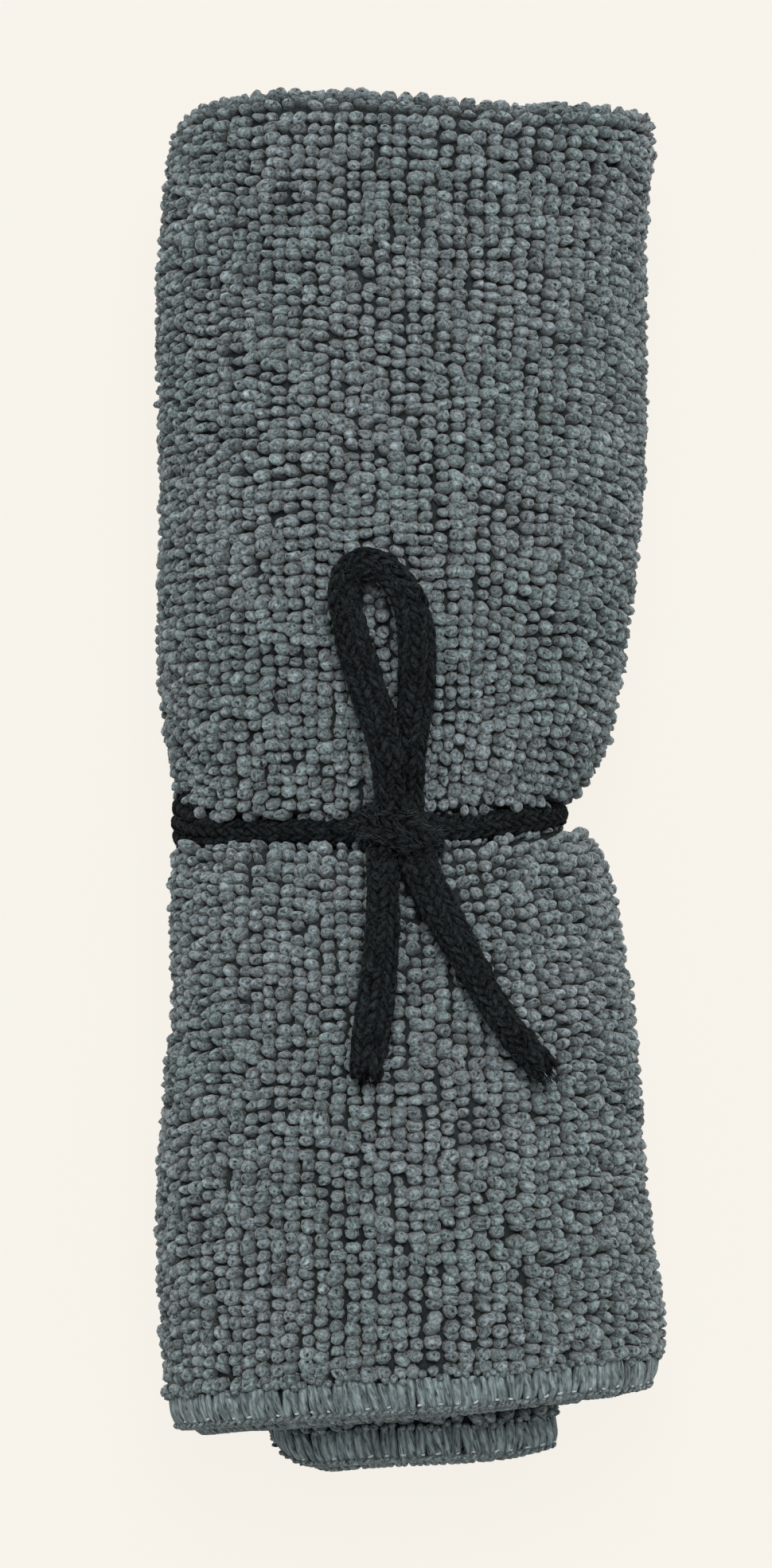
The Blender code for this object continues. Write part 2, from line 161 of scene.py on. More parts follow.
# The routes of the bow and the free ends over the roll, from the knot outwards. Lift is the height
# above the cloth, or above the strand below, that a strand is carried at.
ROUTE = ("x", "y", "lift")
BOW_ROUTE = (
    ROUTE,
    (-2.7, -5.1, 2.9), (-2.8, -2.4, 3.2), (-3.2, 1.7, 3.5), (-4.2, 6.2, 1.8), (-5.7, 11.1, 0.3),
    (-7.3, 16.1, 0), (-8.6, 21.1, 0), (-9.6, 25.4, 0), (-8.9, 28.9, 0), (-6.1, 30.4, 0),
    (-2.9, 29.0, 0), (-0.2, 25.4, 0), (1.1, 20.6, 0), (1.3, 15.8, 0), (1.1, 11.1, 0),
    (0.6, 6.2, 0), (0.3, 1.7, 0), (0.0, -2.4, 0), (-0.1, -5.1, 0),
)
END_LEFT_ROUTE = (
    ROUTE,
    (-3.9, -12.0, 0), (-3.8, -16.0, 0), (-3.8, -21.5, 0), (-4.0, -27.0, 0),
    (-4.5, -32.0, 0), (-5.1, -36.5, 0), (-5.8, -41.0, 0), (-6.2, -44.9, 0),
)
END_RIGHT_ROUTE = (
    ROUTE,
    (1.2, -12.2, 0), (2.8, -17.0, 0), (5.5, -22.2, 0), (8.1, -27.0, 0), (10.6, -31.6, 0),
    (13.0, -35.8, 0), (15.7, -39.4, 0), (18.6, -42.8, 0), (20.1, -44.4, 0),
)

# How a strand is laid: it clears the cloth that is felt under it, and is thinner by the knot.
CORD = 4.6
CLEARANCE = 0.46
TAPER_AT_KNOT = 0.8
TAPER_REACH = 7.0
FEEL_FROM = 1000.0
FEEL_SHARES = (0.0, 0.5, 0.85)
FEEL_DIRECTIONS = 8
FEEL_BESIDE = ((0, 0), (2, 0), (-2, 0), (0, 2), (0, -2))
LEAN_KEPT = (1.0, 0.3, 1.0)

# How the flat cord lies: its half width and half height in millimetres and its lean in degrees, at
# shares of the way along each stretch.
LIE = ("share", "half_width", "half_height", "lean")
BAND_LIE = (
    LIE,
    (0, 1.9, 1.9, 0), (0.06, 1.85, 1.85, 0), (0.13, 1.55, 1.5, 0), (0.18, 1.3, 1.2, 0),
    (0.24, 1.4, 1.4, 0), (0.34, 1.9, 1.9, 0), (0.62, 1.9, 1.9, 0), (0.69, 2.6, 1.8, 0),
    (0.73, 3.9, 1.7, 0), (0.77, 4.2, 1.7, 0), (0.795, 3.8, 1.7, 0), (0.82, 2.5, 1.8, 0),
    (0.85, 1.9, 1.8, 0), (1, 1.9, 1.9, 0),
)
BOW_LIE = (
    LIE,
    (0, 1.8, 1.8, 0), (0.08, 2.0, 1.9, 0), (0.20, 2.3, 1.9, 5), (0.32, 2.2, 1.9, 12),
    (0.42, 1.85, 1.9, 35), (0.50, 1.85, 1.8, 62), (0.62, 2.4, 1.9, 45), (0.78, 2.35, 1.9, 20),
    (0.90, 1.9, 1.9, 5), (1, 1.8, 1.8, 0),
)
END_LEFT_LIE = (LIE, (0, 1.8, 1.8, 0), (0.35, 2.1, 1.9, 0), (0.80, 2.35, 1.9, 0), (1, 2.0, 1.7, 0))
END_RIGHT_LIE = (LIE, (0, 2.5, 1.8, 0), (0.30, 2.35, 1.9, 0), (0.55, 1.95, 1.9, 0), (1, 1.75, 1.7, 0))
LIE_STEP = 0.8

# The free stretches of the tie. Each ends at the knot at one end or at both, and a bare end is frayed.
FREE_CORDS = (
    ("name", "route", "lie", "step", "both_at_knot", "far_end"),
    ("bow", BOW_ROUTE, BOW_LIE, 3.0, True, "object"),
    ("end_left", END_LEFT_ROUTE, END_LEFT_LIE, 4.4, False, "bare"),
    ("end_right", END_RIGHT_ROUTE, END_RIGHT_LIE, 4.4, False, "bare"),
)

# The strands of the knot. The wraps go round its middle, the upper one slantwise over all the others.
KNOT = ("x", "y", "z", "half_width", "half_height")
KNOT_WRAP = (
    KNOT,
    (-6.3, -8.3, 37.2, 1.9, 1.6), (-6.4, -7.6, 40.2, 2.2, 1.5), (-4.6, -7.5, 43.3, 2.5, 1.4),
    (-1.6, -8.7, 44.5, 2.6, 1.4), (1.4, -10.2, 43.4, 2.5, 1.4), (3.3, -10.6, 40.4, 2.1, 1.5),
    (3.5, -9.8, 37.4, 1.8, 1.6),
)
KNOT_LOW_WRAP = (
    KNOT,
    (-5.9, -9.9, 37.2, 1.7, 1.5), (-5.2, -9.8, 40.2, 1.9, 1.5), (-2.6, -9.2, 41.9, 2.2, 1.4),
    (0.4, -8.3, 42.0, 2.0, 1.4), (2.2, -7.8, 40.2, 1.7, 1.5), (2.9, -7.7, 37.4, 1.6, 1.5),
)
KNOT_LEFT_STRAND = (
    KNOT,
    (-2.7, -4.6, 43.9, 2.1, 1.7), (-2.9, -6.6, 42.9, 2.0, 1.5), (-3.4, -9.0, 41.6, 1.9, 1.4),
    (-3.8, -11.2, 40.6, 1.8, 1.5), (-3.9, -13.2, 41.2, 1.9, 1.8),
)
KNOT_RIGHT_STRAND = (
    KNOT,
    (-0.1, -4.6, 41.5, 2.1, 1.7), (0.0, -6.6, 41.4, 2.0, 1.5), (0.2, -9.0, 41.2, 1.9, 1.4),
    (0.8, -11.2, 41.0, 2.2, 1.5), (1.6, -13.4, 41.6, 2.6, 1.8),
)
KNOT_MIDDLE = (-1.3, -9.0, 38.0)
KNOT_STEP = 0.5

# The cord's core and its painted shade, its plaits, loose fibres and frayed tips.
CORE_INSET = 0.3
KNOT_CORE_INSET = 0.25
CORE_SIDES = 12
CORE_PAINTED_SHADE = 0.25
CORE_END = np.array([0.0, 0.12, 0.4])
CORE_END_SIZE = np.array([0.02, 0.6, 0.9])
CORE_BODY_FROM = 0.8
PLAIT_SLANT = 26.0
PLAIT_FROM = 0.3
PLAIT_TO = 0.2
PLAIT_SUNK = 0.34
PLAIT_LEAN = 0.25
PLAIT_WIDE = 1.08
PLAIT_LONG = 0.95
PLAIT_TALL = 0.90
FUZZ_PER_MM = 9
BAND_FUZZ_PER_MM = 6
KNOT_FUZZ_PER_MM = 44
KNOT_FUZZ_GROW = 1.5
FUZZ_RADIUS = 0.06
FUZZ_TAPER = np.linspace(1.0, 0.4, 3)
FUZZ_LENGTH = (0.6, 1.7)
FUZZ_STAND = (0.02, 0.8)
FUZZ_ASKEW = 0.2
FUZZ_CURL = 0.18
FUZZ_SUNK = 0.1
FUZZ_FROM = 0.2
FUZZ_TONES = 0.3
FRAY_COUNT = 22
FRAY_RADIUS = 0.30
FRAY_TAPER = np.linspace(1.0, 0.15, 6)
FRAY_LENGTH = (1.3, 2.7)
FRAY_SUNK = (0.8, 1.7)
FRAY_WITHIN = 0.8
FRAY_OPENS = (0.55, 0.25)
FRAY_ASKEW = 0.12
FRAY_CURL = 0.45
FRAY_TONE = 0.8

# How near the pile comes to the cord's middle line round the waist, and how far it drops beside it.
LIP_LINE = (
    ("angle", "reach", "drop"),
    (TABLES_FROM, 2.4, 0.5), (-22, 2.2, 2.2), (-4, 2.1, 3.0), (12, 1.8, 2.8), (35, 1.9, 0.9),
    (55, 2.2, 0), (75, 2.4, 0), (140, 2.4, 0), (152, 2.5, 0), (160, 3.3, 0), (166, 4.7, 0),
    (176, 5.4, 0), (184, 5.4, 0), (193, 3.4, 0), (204, 2.5, 0), (318, 2.4, 0.5),
)
LIP_SPREAD = 3.0
LIP_RAISE = 5.3
LIP_STEADY = 3.0
LIP_AT = 3.0
LIP_REACH = 1.2
LIP_LEAN = 0.10

# Where the tie presses the pile down: between the free ends by the knot, and inside the bow's bend. There
# the curls sink towards the ground, and more of its painted shade shows.
PRESSED = (
    ("x", "y", "reach_x", "reach_y", "by"),
    (-0.2, -15.5, 2.4, 4.4, 2.1),
    (-6.6, 26.0, 2.2, 4.0, 1.3),
)

# The cloth's ground under the pile, how far its bake map reaches from the fold, its tone of painted shade,
# and the stations of its rows beside the cord.
BASE_DEPTH = 2.0
EDGE_ROOM = 0.9
GROUND_SHORT = 1.6
GROUND_RUN = 205.0
GROUND_PAINTED_SHADE = 0.5
FOLD_ROWS = 9
GROUND_TURNS = np.concatenate((np.linspace(1.2, 8.0, 3), np.arange(12.0, WOUND + 1.0, 5.0)))
BESIDE_CORD = np.array([0.0, 1.3, 1.9, 2.4, 2.9, 3.4, 5.0, 8.0, 12.0, 18.0])
WALL_ROWS = 9

# The buds that the pile, the overlock and the plaits are made of: how many kinds, how far they reach
# down from the tip in degrees, how deep their dents and bulges may be, and within which bounds.
BUDS = (
    ("name", "kinds", "sides", "rings", "reach", "squareness", "lumps", "top_flatness", "bounds"),
    ("curl", 36, 8, 4, 112.0, 2.15, 0.52, 0.90, (-0.55, 0.17)),
    ("hidden_curl", 36, 6, 3, 108.0, 2.2, 0.16, 0.80, (-1.0, 1.0)),
    ("overlock", 12, 7, 3, 105.0, 2.0, 0.25, 0.90, (-1.0, 1.0)),
    ("plait", 12, 8, 4, 100.0, 2.0, 0.14, 1.0, (-1.0, 1.0)),
)
LUMPS = 6
LUMP_REACH = 0.14
LUMP_RISE = (0.0, 0.0, 0.7)

# The pile: its pieces by their range of angles, and the spacing, unevenness and lie of its curls.
PILE_PIECES = (
    ("name", "low", "high", "bud"),
    ("pile_right_and_lap", -80, 42, "curl"),
    ("pile_top", 42, 138, "curl"),
    ("pile_left", 138, 228, "curl"),
    ("pile_under", 228, 330, "hidden_curl"),
)
PILE_STATION = 50.0
PILE_LEAN = -0.15
PILE_LEANS = 0.10
PILE_TWIST = 22.0
PILE_SHIFT = (0.14, 0.15)
PILE_TONES = 0.16
PILE_SPIN = 180.0
UNDER_LAP = 24.0
SIDE_GAP = 0.3
HEM_GAP = 0.1
CORE_GAP = 0.4
FINE_STEP = 0.2
COLUMN_WAVE = (12, 34)
COLUMN_SWAY = 0.18
ROW_SHIFT = 0.32
SHIFT_ROOM = 6.0
DRIFT_ROOM = 16.0
DRIFT_ROUND = 1.3
DRIFT_ALONG = 2.0
RIPPLE = 0.35
CURL_SIZES = (0.85, 1.0, 1.14)
CURL_SHARES = (0.12, 0.76, 0.12)
CURL_SPREAD = 0.07
CURL_OWN_SPREAD = 0.06
CURL_WIDE = 0.58
CURL_WIDE_BOUNDS = (0.6, 1.3)
CURL_LONG = 0.60
CURL_TALL_BOUNDS = (0.72, 1.0)
CURL_SUNK = 0.08

# The pile over the folds, and that of the inner turns and the core.
CAP_ROWS = 5
INNER_ROWS = 2
DEEP_ROWS = 3
CORE_ROWS = 4
CORE_FROM = 640.0
CAP_FROM = 1.0
CAP_SPACING = 1.04
CAP_SHIFT = (0.24, 0.18)
CAP_TWIST = 16.0
CAP_PUFF = 1.12
CAP_WIDE = 0.53 * CAP_PUFF
CAP_WIDE_BOUNDS = (0.6, 1.4)
CAP_LONG = 0.56 * CAP_PUFF
CAP_LONG_BOUNDS = (0.6, 1.3)
CAP_TALL = 0.92
CAP_SUNK = 0.05

# The sewn edges: the wraps of yarn and the rows of buds that the overlock is made of, and the needle
# thread. Inward is measured from the hem's depth where its share is 1. On the edge itself it is the way
# across the cloth's thickness.
HEM_STATION = -95.0
SIDE_STATION = 40.0
STITCHES_FROM = 1.0
SIDE_STITCHES_FROM = 2.0
HEM_INNER_ROOM = 0.2
SIDE_INNER_BACK = 0.8
STITCH_SHIFT = 0.07
HEM_HALF = 1.05
WRAP_HALF = 0.56
WRAP_SWELL = 0.42
WRAP_SLANT = 0.10
WRAP_BACK = 0.7
WRAP_SUNK = 0.25
WRAP_FRONT_ROWS = 7
WRAP_BACK_ROWS = 3
WRAP_COLUMNS = 5
WRAP_GRAIN = (1.0, 0.35, 1.0)
WRAP_VARIATION = ((1.0, 0.14), (-0.22, 0.10), (1.0, 0.05))
OVERLOCK_BUDS = (
    (
        "depth_share", "inward", "inward_spread", "offset", "half_a", "half_b", "tall", "twist",
        "twist_spread", "on_edge",
    ),
    (1, 0.10, 0.34, HEM_HALF - 0.1, 0.70, 0.60, 0.95, 0.0, 30.0, False),
    (0, 0.35, 0.0, HEM_HALF - 0.1, 0.84, 0.34, 0.62, 24.0, 6.0, False),
    (0, 0.0, 0.0, 0.55, 0.86, 0.50, 0.70, 28.0, 6.0, True),
)
NEEDLE_SHARE = 0.85
NEEDLE_SHIFT = 0.35
NEEDLE_IN = 0.95
NEEDLE_OVER = 0.02
NEEDLE_LONG = (0.30, 0.60)
NEEDLE_WIDE = 0.20
NEEDLE_TALL = (0.16, 0.34)
NEEDLE_TONES = 0.08

# The yarns: the slot of their pieces, the user's colour that they take, its two shades, and how they look.
# Relief is in metres. The crevice column is painted shade: how bright the foot of a curl, wrap or plait is
# kept.
YARNS = (
    (
        "name", "slot", "colour", "shade", "other_shade", "fineness", "contrast", "crevice", "relief",
        "roughness", "gloss", "sheen", "sheen_roughness",
    ),
    (
        "terry_pile", "cloth", "pile_colour", (0.92, 0.96, 0.95), (1.09, 1.04, 1.06),
        2.1, 1.18, 0.26, 0.00030, 0.95, 0.12, 0.36, 0.45,
    ),
    # The ground's two shades are painted shade: it is the pile's own yarn, made dark as in the shadow
    # between the curls.
    ("terry_ground", "cloth", "pile_colour", 0.16, 0.22, 2.0, 0.40, 0.60, 0.00020, 0.95, 0.05, 0.0, 0.50),
    ("overlock_thread", "cloth", "thread_colour", 0.93, 1.07, 2.6, 1.0, 0.25, 0.00020, 0.9, 0.08, 0.2, 0.4),
    ("needle_thread", "cloth", "needle_colour", 1.0, 1.0, 5.0, 0.2, 0.6, 0.00008, 0.7, 0.15, 0.2, 0.4),
    ("cord_yarn", "cord", "cord_colour", 0.9, 1.12, 2.6, 1.3, 0.05, 0.00025, 0.85, 0.03, 0.02, 0.45),
    ("cord_fluff", "cord", "cord_colour", 2.4, 4.4, 2.3, 0.6, 0.6, 0.00005, 0.85, 0.05, 0.02, 0.45),
)
PATCH_SIZE = 60.0
GRAIN_PLACES = 90
MID_GREY = (0.5, 0.5, 0.5, 1.0)

# Small values that several functions share.
ROUND_WAYS = np.array([1.0, 0.0, 1.0])
STEP = 0.4
FLOOR_ROOM = 0.04
BAKE_MAP = "OFBake"
MARGIN = 0.94

# The studio, in metres.
FLOOR_HALF = 4.0
FLOOR_SHADED = 0.04
SKY_COLOUR = (1.0, 0.995, 0.985, 1.0)
KEY_COLOUR = (1.0, 0.995, 0.98)
KEY_SIZE = 0.7
KEY_PLACE = (0.08, 0.50, 1.30)
KEY_AIM = (0.0, 0.0, 0.02)

# The width of the camera's film, in millimetres.
SENSOR = 36.0

# A small open form that is set many times: its points, faces, bake map and tone. Its tone holds painted
# shade, lower where its neighbours shade it.
Shape = namedtuple("Shape", ("points", "faces", "flat", "tone"))


def column(table, name):
    """One named column of a table."""
    return np.array([row[table[0].index(name)] for row in table[1:]], dtype=float)


def rows_of(table):
    """A table's rows, each as values by name."""
    return [dict(zip(table[0], row)) for row in table[1:]]


def row_named(table, name):
    """The row of a table that has that name."""
    return next(row for row in rows_of(table) if row["name"] == name)


def through(knots, values, x):
    """A smooth curve through a table's values, read at x and level past its ends."""
    x = np.clip(x, knots[0], knots[-1])
    i = np.clip(np.searchsorted(knots, x) - 1, 0, len(knots) - 2)
    slope = np.gradient(values, knots)
    width = knots[i + 1] - knots[i]
    t = (x - knots[i]) / width
    from_left = (2 * t - 3) * t * t + 1
    return (
        from_left * values[i]
        + (1 - from_left) * values[i + 1]
        + t * (t - 1) * (t - 1) * width * slope[i]
        + t * t * (t - 1) * width * slope[i + 1]
    )


def table_value(table, name, x):
    """The value of one column where the table's first column is x."""
    return through(column(table, table[0][0]), column(table, name), x)


def ease(low, high, x):
    """0 below low, 1 above high, and smooth in between."""
    t = np.clip((x - low) / (high - low), 0.0, 1.0)
    return t * t * (3 - 2 * t)


def power(value, exponent):
    """A power that keeps the value's sign."""
    return np.sign(value) * np.abs(value) ** exponent


def unit(vectors):
    """Vectors of length one."""
    return vectors / np.maximum(np.linalg.norm(vectors, axis=-1, keepdims=True), 1e-9)


def steps_of(points):
    """The distances between the points of a line."""
    return np.linalg.norm(np.diff(points, axis=0), axis=1)


def summed(steps):
    """The way along a line to each of its points, from the lengths of its steps."""
    return np.concatenate(([0.0], np.cumsum(steps)))


def finer(points, spacing, measured=None):
    """Evenly spaced points on a smooth curve through points, and the way to each. Only the first
    columns up to the measured number count for the way, or all of them."""
    run = summed(steps_of(points[:, :measured]))
    at = np.linspace(0.0, run[-1], round(run[-1] / spacing) + 1)
    return np.stack([through(run, values, at) for values in points.T], axis=1), at


def round_angle(angle):
    """An angle round the roll, brought into the range of the tables."""
    return (angle - TABLES_FROM) % FULL_TURN + TABLES_FROM


def band_station(angle):
    """Where the cord crosses that side of the roll."""
    return table_value(BAND_LINE, "y", round_angle(angle))


def groove_share(angle, y):
    """1 under the cord and 0 outside its groove."""
    return 1 - ease(GROOVE_FLOOR, GROOVE_LIP, np.abs(y - band_station(angle)))


def swell(angle, y):
    """Unevenness of the rolled cloth, with none of it on the underside or under the cord."""
    turn = np.radians(angle)
    waves = 0.0
    for wave in rows_of(WAVES):
        waves = waves + wave["height"] * np.sin(wave["round"] * turn + wave["along"] * y + wave["phase"])
    from_cord = (np.abs(y - band_station(angle)) - PLEAT_FROM_CORD) / PLEAT_REACH
    pleats = PLEAT_HEIGHT * np.exp(-from_cord * from_cord) * np.cos(PLEATS * turn + np.sin(2 * turn))
    return (waves + pleats) * ease(WAVES_NONE, WAVES_FULL, np.sin(turn)) * (1 - groove_share(angle, y))


def rounded(angle, left, right, up, down):
    """Sideways and upward distances on a squared oval with four different reaches."""
    turn = np.radians(angle)
    side = power(np.cos(turn), 2 / SQUARENESS)
    rise = power(np.sin(turn), 2 / SQUARENESS)
    return side * np.where(side > 0, right, left), rise * np.where(rise > 0, up, down)


def section(angle, y, inset):
    """The x and z of the roll's surface, or of cloth that lies inset under it."""
    pinch = np.exp(-(((y - WAIST) / WAIST_REACH) ** 2))
    station = y - pinch * (band_station(angle) - WAIST)
    share = groove_share(angle, y)
    room = BAND_CORD / 2 + BAND_CLEARANCE
    reach = {
        "left": BAND_LEFT - room,
        "right": BAND_RIGHT - room,
        "top": BAND_TOP - room,
        "under": BAND_UNDER + room,
    }
    for name, cord in reach.items():
        lip = table_value(SECTIONS, name, station)
        reach[name] = lip + (cord - lip) * share
    buried = np.minimum(inset, LAYER) + np.maximum(inset - LAYER, 0) * (1 - BURIED_SQUEEZE * pinch)
    drawn_in = buried * (1 - GROOVE_LAP_SHARE * share)
    grow = swell(angle, y) * np.clip(1 - inset / LAYER, 0.0, 1.0) - drawn_in
    x, rise = rounded(
        angle,
        reach["left"] + grow,
        reach["right"] + grow,
        reach["top"] - AXIS_HEIGHT + grow,
        AXIS_HEIGHT - reach["under"] + grow,
    )
    return x, np.maximum(AXIS_HEIGHT + rise, PRESSED_SHARE * drawn_in)


def inset_at(wound):
    """How far under the surface a turn's outer side lies."""
    turns = np.floor(wound / FULL_TURN)
    return LAYER * (turns + ease(FULL_TURN - LAP_TAPER, FULL_TURN, wound - turns * FULL_TURN))


def fold_level(wound):
    """How far along Y the pile of the folded end reaches."""
    return table_value(ENDS, "fold", wound) + table_value(FOLD_PUFF, "puff", wound)


def hem_level(wound):
    """How far along Y the cloth reaches at its hem, with the rounded corners of the core."""
    return table_value(ENDS, "hem", wound) - HEM_REACH + table_value(HEM_TRIM, "trim", wound)


def wall_top(wound):
    """Where along Y the straight wall of the cloth's ground ends and its fold begins."""
    return fold_level(wound) - BASE_DEPTH - RIM


def roll_point(wound, y, depth):
    """Points of the wound cloth, at a depth under the outer side of their turn."""
    x, z = section(LAP_ANGLE - wound, y, inset_at(wound) + depth)
    return np.stack(np.broadcast_arrays(x, y, z), axis=-1)


def folded_point(wound, run, depth):
    """Points of the doubled cloth. Run is the way along it from the middle of the fold, negative on the
    outer layer and positive on the inner one."""
    bend = np.radians(90 + 90 * np.clip(run / FOLD_REACH, -1, 1))
    half = LAYER / 2 - depth
    under = LAYER / 2 - half * power(np.cos(bend), FOLD_ROUNDNESS)
    past = np.maximum(np.abs(run) - FOLD_REACH, 0)
    down = RIM * (1 - power(np.sin(bend), FOLD_ROUNDNESS))
    return roll_point(wound, fold_level(wound) - depth - down - past, under)


def winding(station):
    """The lengths along the wound cloth from its free edge, and the turning angles there."""
    wound = np.arange(0.0, WOUND + 1.0)
    return summed(steps_of(roll_point(wound, station, BASE_DEPTH))), wound


def grid_quads(rows, columns, closed):
    """Four-sided faces between rows of points."""
    i, j = np.meshgrid(np.arange(rows - 1), np.arange(columns if closed else columns - 1), indexing="ij")
    a = (i * columns + j).ravel()
    b = (i * columns + (j + 1) % columns).ravel()
    return np.stack((a, a + columns, b + columns, b), axis=1)


def grid_triangles(rows, columns, closed):
    """Triangles between rows of points."""
    return grid_quads(rows, columns, closed)[:, [[0, 1, 2], [0, 2, 3]]].reshape(-1, 3)


def grid_map(along, across):
    """The bake map of rows of points."""
    return np.stack(np.meshgrid(along, across, indexing="ij"), axis=-1).reshape(-1, 2)


def bud_shape(rng, name):
    """Rounded buds, each kind with its own dents and bulges, from the tip down to an open foot."""
    bud = row_named(BUDS, name)
    kinds, sides, rings, square = (bud[key] for key in ("kinds", "sides", "rings", "squareness"))
    reach = np.radians(bud["reach"])
    polar = np.append(0.0, np.repeat(reach * np.arange(1, rings + 1) / rings, sides))
    turn = np.append(0.0, np.tile(math.tau * np.arange(sides) / sides, rings))
    across = np.sin(polar) * np.cos(turn)
    along = np.sin(polar) * np.sin(turn)
    ways = np.stack((across, along, np.cos(polar)), axis=1)
    corners = (np.abs(across) ** square + np.abs(along) ** square) ** (1 / square)
    outline = np.hypot(across, along) / np.maximum(corners, 1e-9)
    outline[0] = 1.0
    up = power(np.cos(polar), bud["top_flatness"])
    formed = np.stack((across * outline, along * outline, up), axis=1)
    lumps = unit(rng.normal(size=(kinds, LUMPS, 3)) + LUMP_RISE)
    depths = rng.uniform(-bud["lumps"], bud["lumps"], size=(kinds, LUMPS, 1))
    near = np.exp((np.einsum("kmc,vc->kmv", lumps, ways) - 1) / LUMP_REACH)
    size = 1 + np.clip((depths * near).sum(axis=1), *bud["bounds"])
    fan = [(0, 1 + j, 1 + (j + 1) % sides) for j in range(sides)]
    faces = np.concatenate((fan, 1 + grid_triangles(rings, sides, True)))
    radius = 0.5 * MARGIN * polar / reach
    flat = 0.5 + np.stack((radius * np.cos(turn), radius * np.sin(turn)), axis=1)
    # The tone is painted shade: 1 at the tip and lower towards the foot, where the buds shade each other.
    return Shape(formed * size[..., None], faces, flat, np.clip(up, 0, 1))


def slopes(place, a, b, n):
    """How far the places of a surface move for a step in a and for one in b."""
    side = (place(a + STEP, b, n) - place(a - STEP, b, n)) / (2 * STEP)
    along = (place(a, b + STEP, n) - place(a, b - STEP, n)) / (2 * STEP)
    return side, along


def stretch(place, a, b):
    """How much longer a step on the surface is than the same step in a and in b."""
    return [np.linalg.norm(slope, axis=-1) for slope in slopes(place, a, b, 0 * a)]


def scatter(place, where, sizes, twist, shape, pick, lean=0.0, steady=0.0):
    """Many small shapes set on a surface: their points, their grain and the shape.

    place gives surface points from (a, b, n); where is those three, and sizes the half sizes along a
    and b and the height, in millimetres. Steady is how much each keeps upright over a hollow.
    """
    a, b, n = where
    here = place(a, b, n)
    side, forward = slopes(place, a, b, n)
    outward = place(a, b, n + STEP) - here
    normal = unit(np.cross(side, forward))
    hand = np.where((normal * outward).sum(axis=-1) < 0, -1.0, 1.0)[:, None]
    steady = np.reshape(steady, (-1, 1))
    normal = unit(normal * hand * (1 - steady) + unit(outward * ROUND_WAYS) * steady)
    side = unit(side)
    turn = np.radians(twist)[:, None]
    first = side * np.cos(turn) + np.cross(normal, side) * np.sin(turn)
    rise = normal + unit(forward) * np.reshape(lean, (-1, 1))
    axes = np.stack((first, np.cross(normal, first), rise), axis=1)
    grain = shape.points[pick] * np.stack(sizes, axis=-1)[:, None]
    return here[:, None] + grain @ axes, grain, shape


def new_piece(name, points, faces, flat, tone, grain, yarn, looks):
    """An object of dyed yarn with its mesh, bake map and attributes, riding on the roll."""
    data = bpy.data.meshes.new(name)
    data.vertices.add(len(points))
    data.vertices.foreach_set("co", (points * MM).astype(np.float32).ravel())
    data.loops.add(faces.size)
    data.loops.foreach_set("vertex_index", faces.astype(np.int32).ravel())
    data.polygons.add(len(faces))
    data.polygons.foreach_set("loop_start", np.arange(0, faces.size, faces.shape[1], dtype=np.int32))
    data.update(calc_edges=True)
    data.validate()
    data.shade_smooth()
    layer = data.uv_layers.new(name=BAKE_MAP)
    layer.data.foreach_set("uv", flat[faces.ravel()].astype(np.float32).ravel())
    data.attributes.new("tone", "FLOAT", "POINT").data.foreach_set("value", tone.astype(np.float32))
    spot = data.attributes.new("grain", "FLOAT_VECTOR", "POINT")
    spot.data.foreach_set("vector", grain.astype(np.float32).ravel())
    data.materials.append(yarn_material(yarn, looks))
    piece = bpy.data.objects.new(name, data)
    bpy.context.scene.collection.objects.link(piece)
    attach(piece, BODY)
    return piece


def new_crowd(name, groups, yarn, looks, rng, tone_spread=0.12, spin=0.0):
    """One piece of many small shapes: groups of points and grain, each with its shape. Tone spread is
    how much their tones differ. Spin turns the grain of each by up to so many degrees."""
    cells = math.ceil(math.sqrt(sum(len(points) for points, _, _ in groups)))
    made = []
    first_cell = first_point = 0
    for points, grain, shape in groups:
        number, size = points.shape[:2]
        cell = first_cell + np.arange(number)
        corner = np.stack((cell % cells, cell // cells), axis=1)
        starts = first_point + np.arange(number)[:, None, None] * size
        tone = shape.tone + rng.normal(0, tone_spread, size=(number, 1))
        turn = np.radians(rng.uniform(-spin, spin, size=(number, 1)))
        turned = (
            grain[..., 0] * np.cos(turn) - grain[..., 1] * np.sin(turn),
            grain[..., 0] * np.sin(turn) + grain[..., 1] * np.cos(turn),
            grain[..., 2],
        )
        own_grain = np.stack(turned, axis=-1) + rng.uniform(0, GRAIN_PLACES, size=(number, 1, 3))
        made.append(
            (
                points.reshape(-1, 3),
                (shape.faces + starts).reshape(-1, 3),
                ((shape.flat + corner[:, None]) / cells).reshape(-1, 2),
                tone.ravel(),
                own_grain.reshape(-1, 3),
            )
        )
        first_cell += number
        first_point += number * size
    points, faces, flat, tone, grain = (np.concatenate(parts) for parts in zip(*made))
    points[:, 2] = np.maximum(points[:, 2], FLOOR_ROOM)
    return new_piece(name, points, faces, flat, tone, grain, yarn, looks)


def set_inputs(tree, node, values):
    """Sets a node's inputs to values, or links them to outputs of other nodes."""
    for name, value in values.items():
        if isinstance(value, bpy.types.NodeSocket):
            tree.links.new(value, node.inputs[name])
        else:
            node.inputs[name].default_value = value


def add_node(tree, kind, values):
    """A new shader node with its inputs set."""
    node = tree.nodes.new("ShaderNode" + kind)
    set_inputs(tree, node, values)
    return node


def maths(tree, operation, first, second):
    """A Math node of two numbers or links."""
    node = add_node(tree, "Math", {0: first, 1: second})
    node.operation = operation
    return node.outputs[0]


def spread_noise(tree, values, edge):
    """A noise of which the range from edge to 1 - edge is spread out over 0 to 1."""
    noise = add_node(tree, "TexNoise", values)
    ends = {"Value": noise.outputs["Fac"], "From Min": edge, "From Max": 1 - edge}
    return add_node(tree, "MapRange", ends).outputs["Result"]


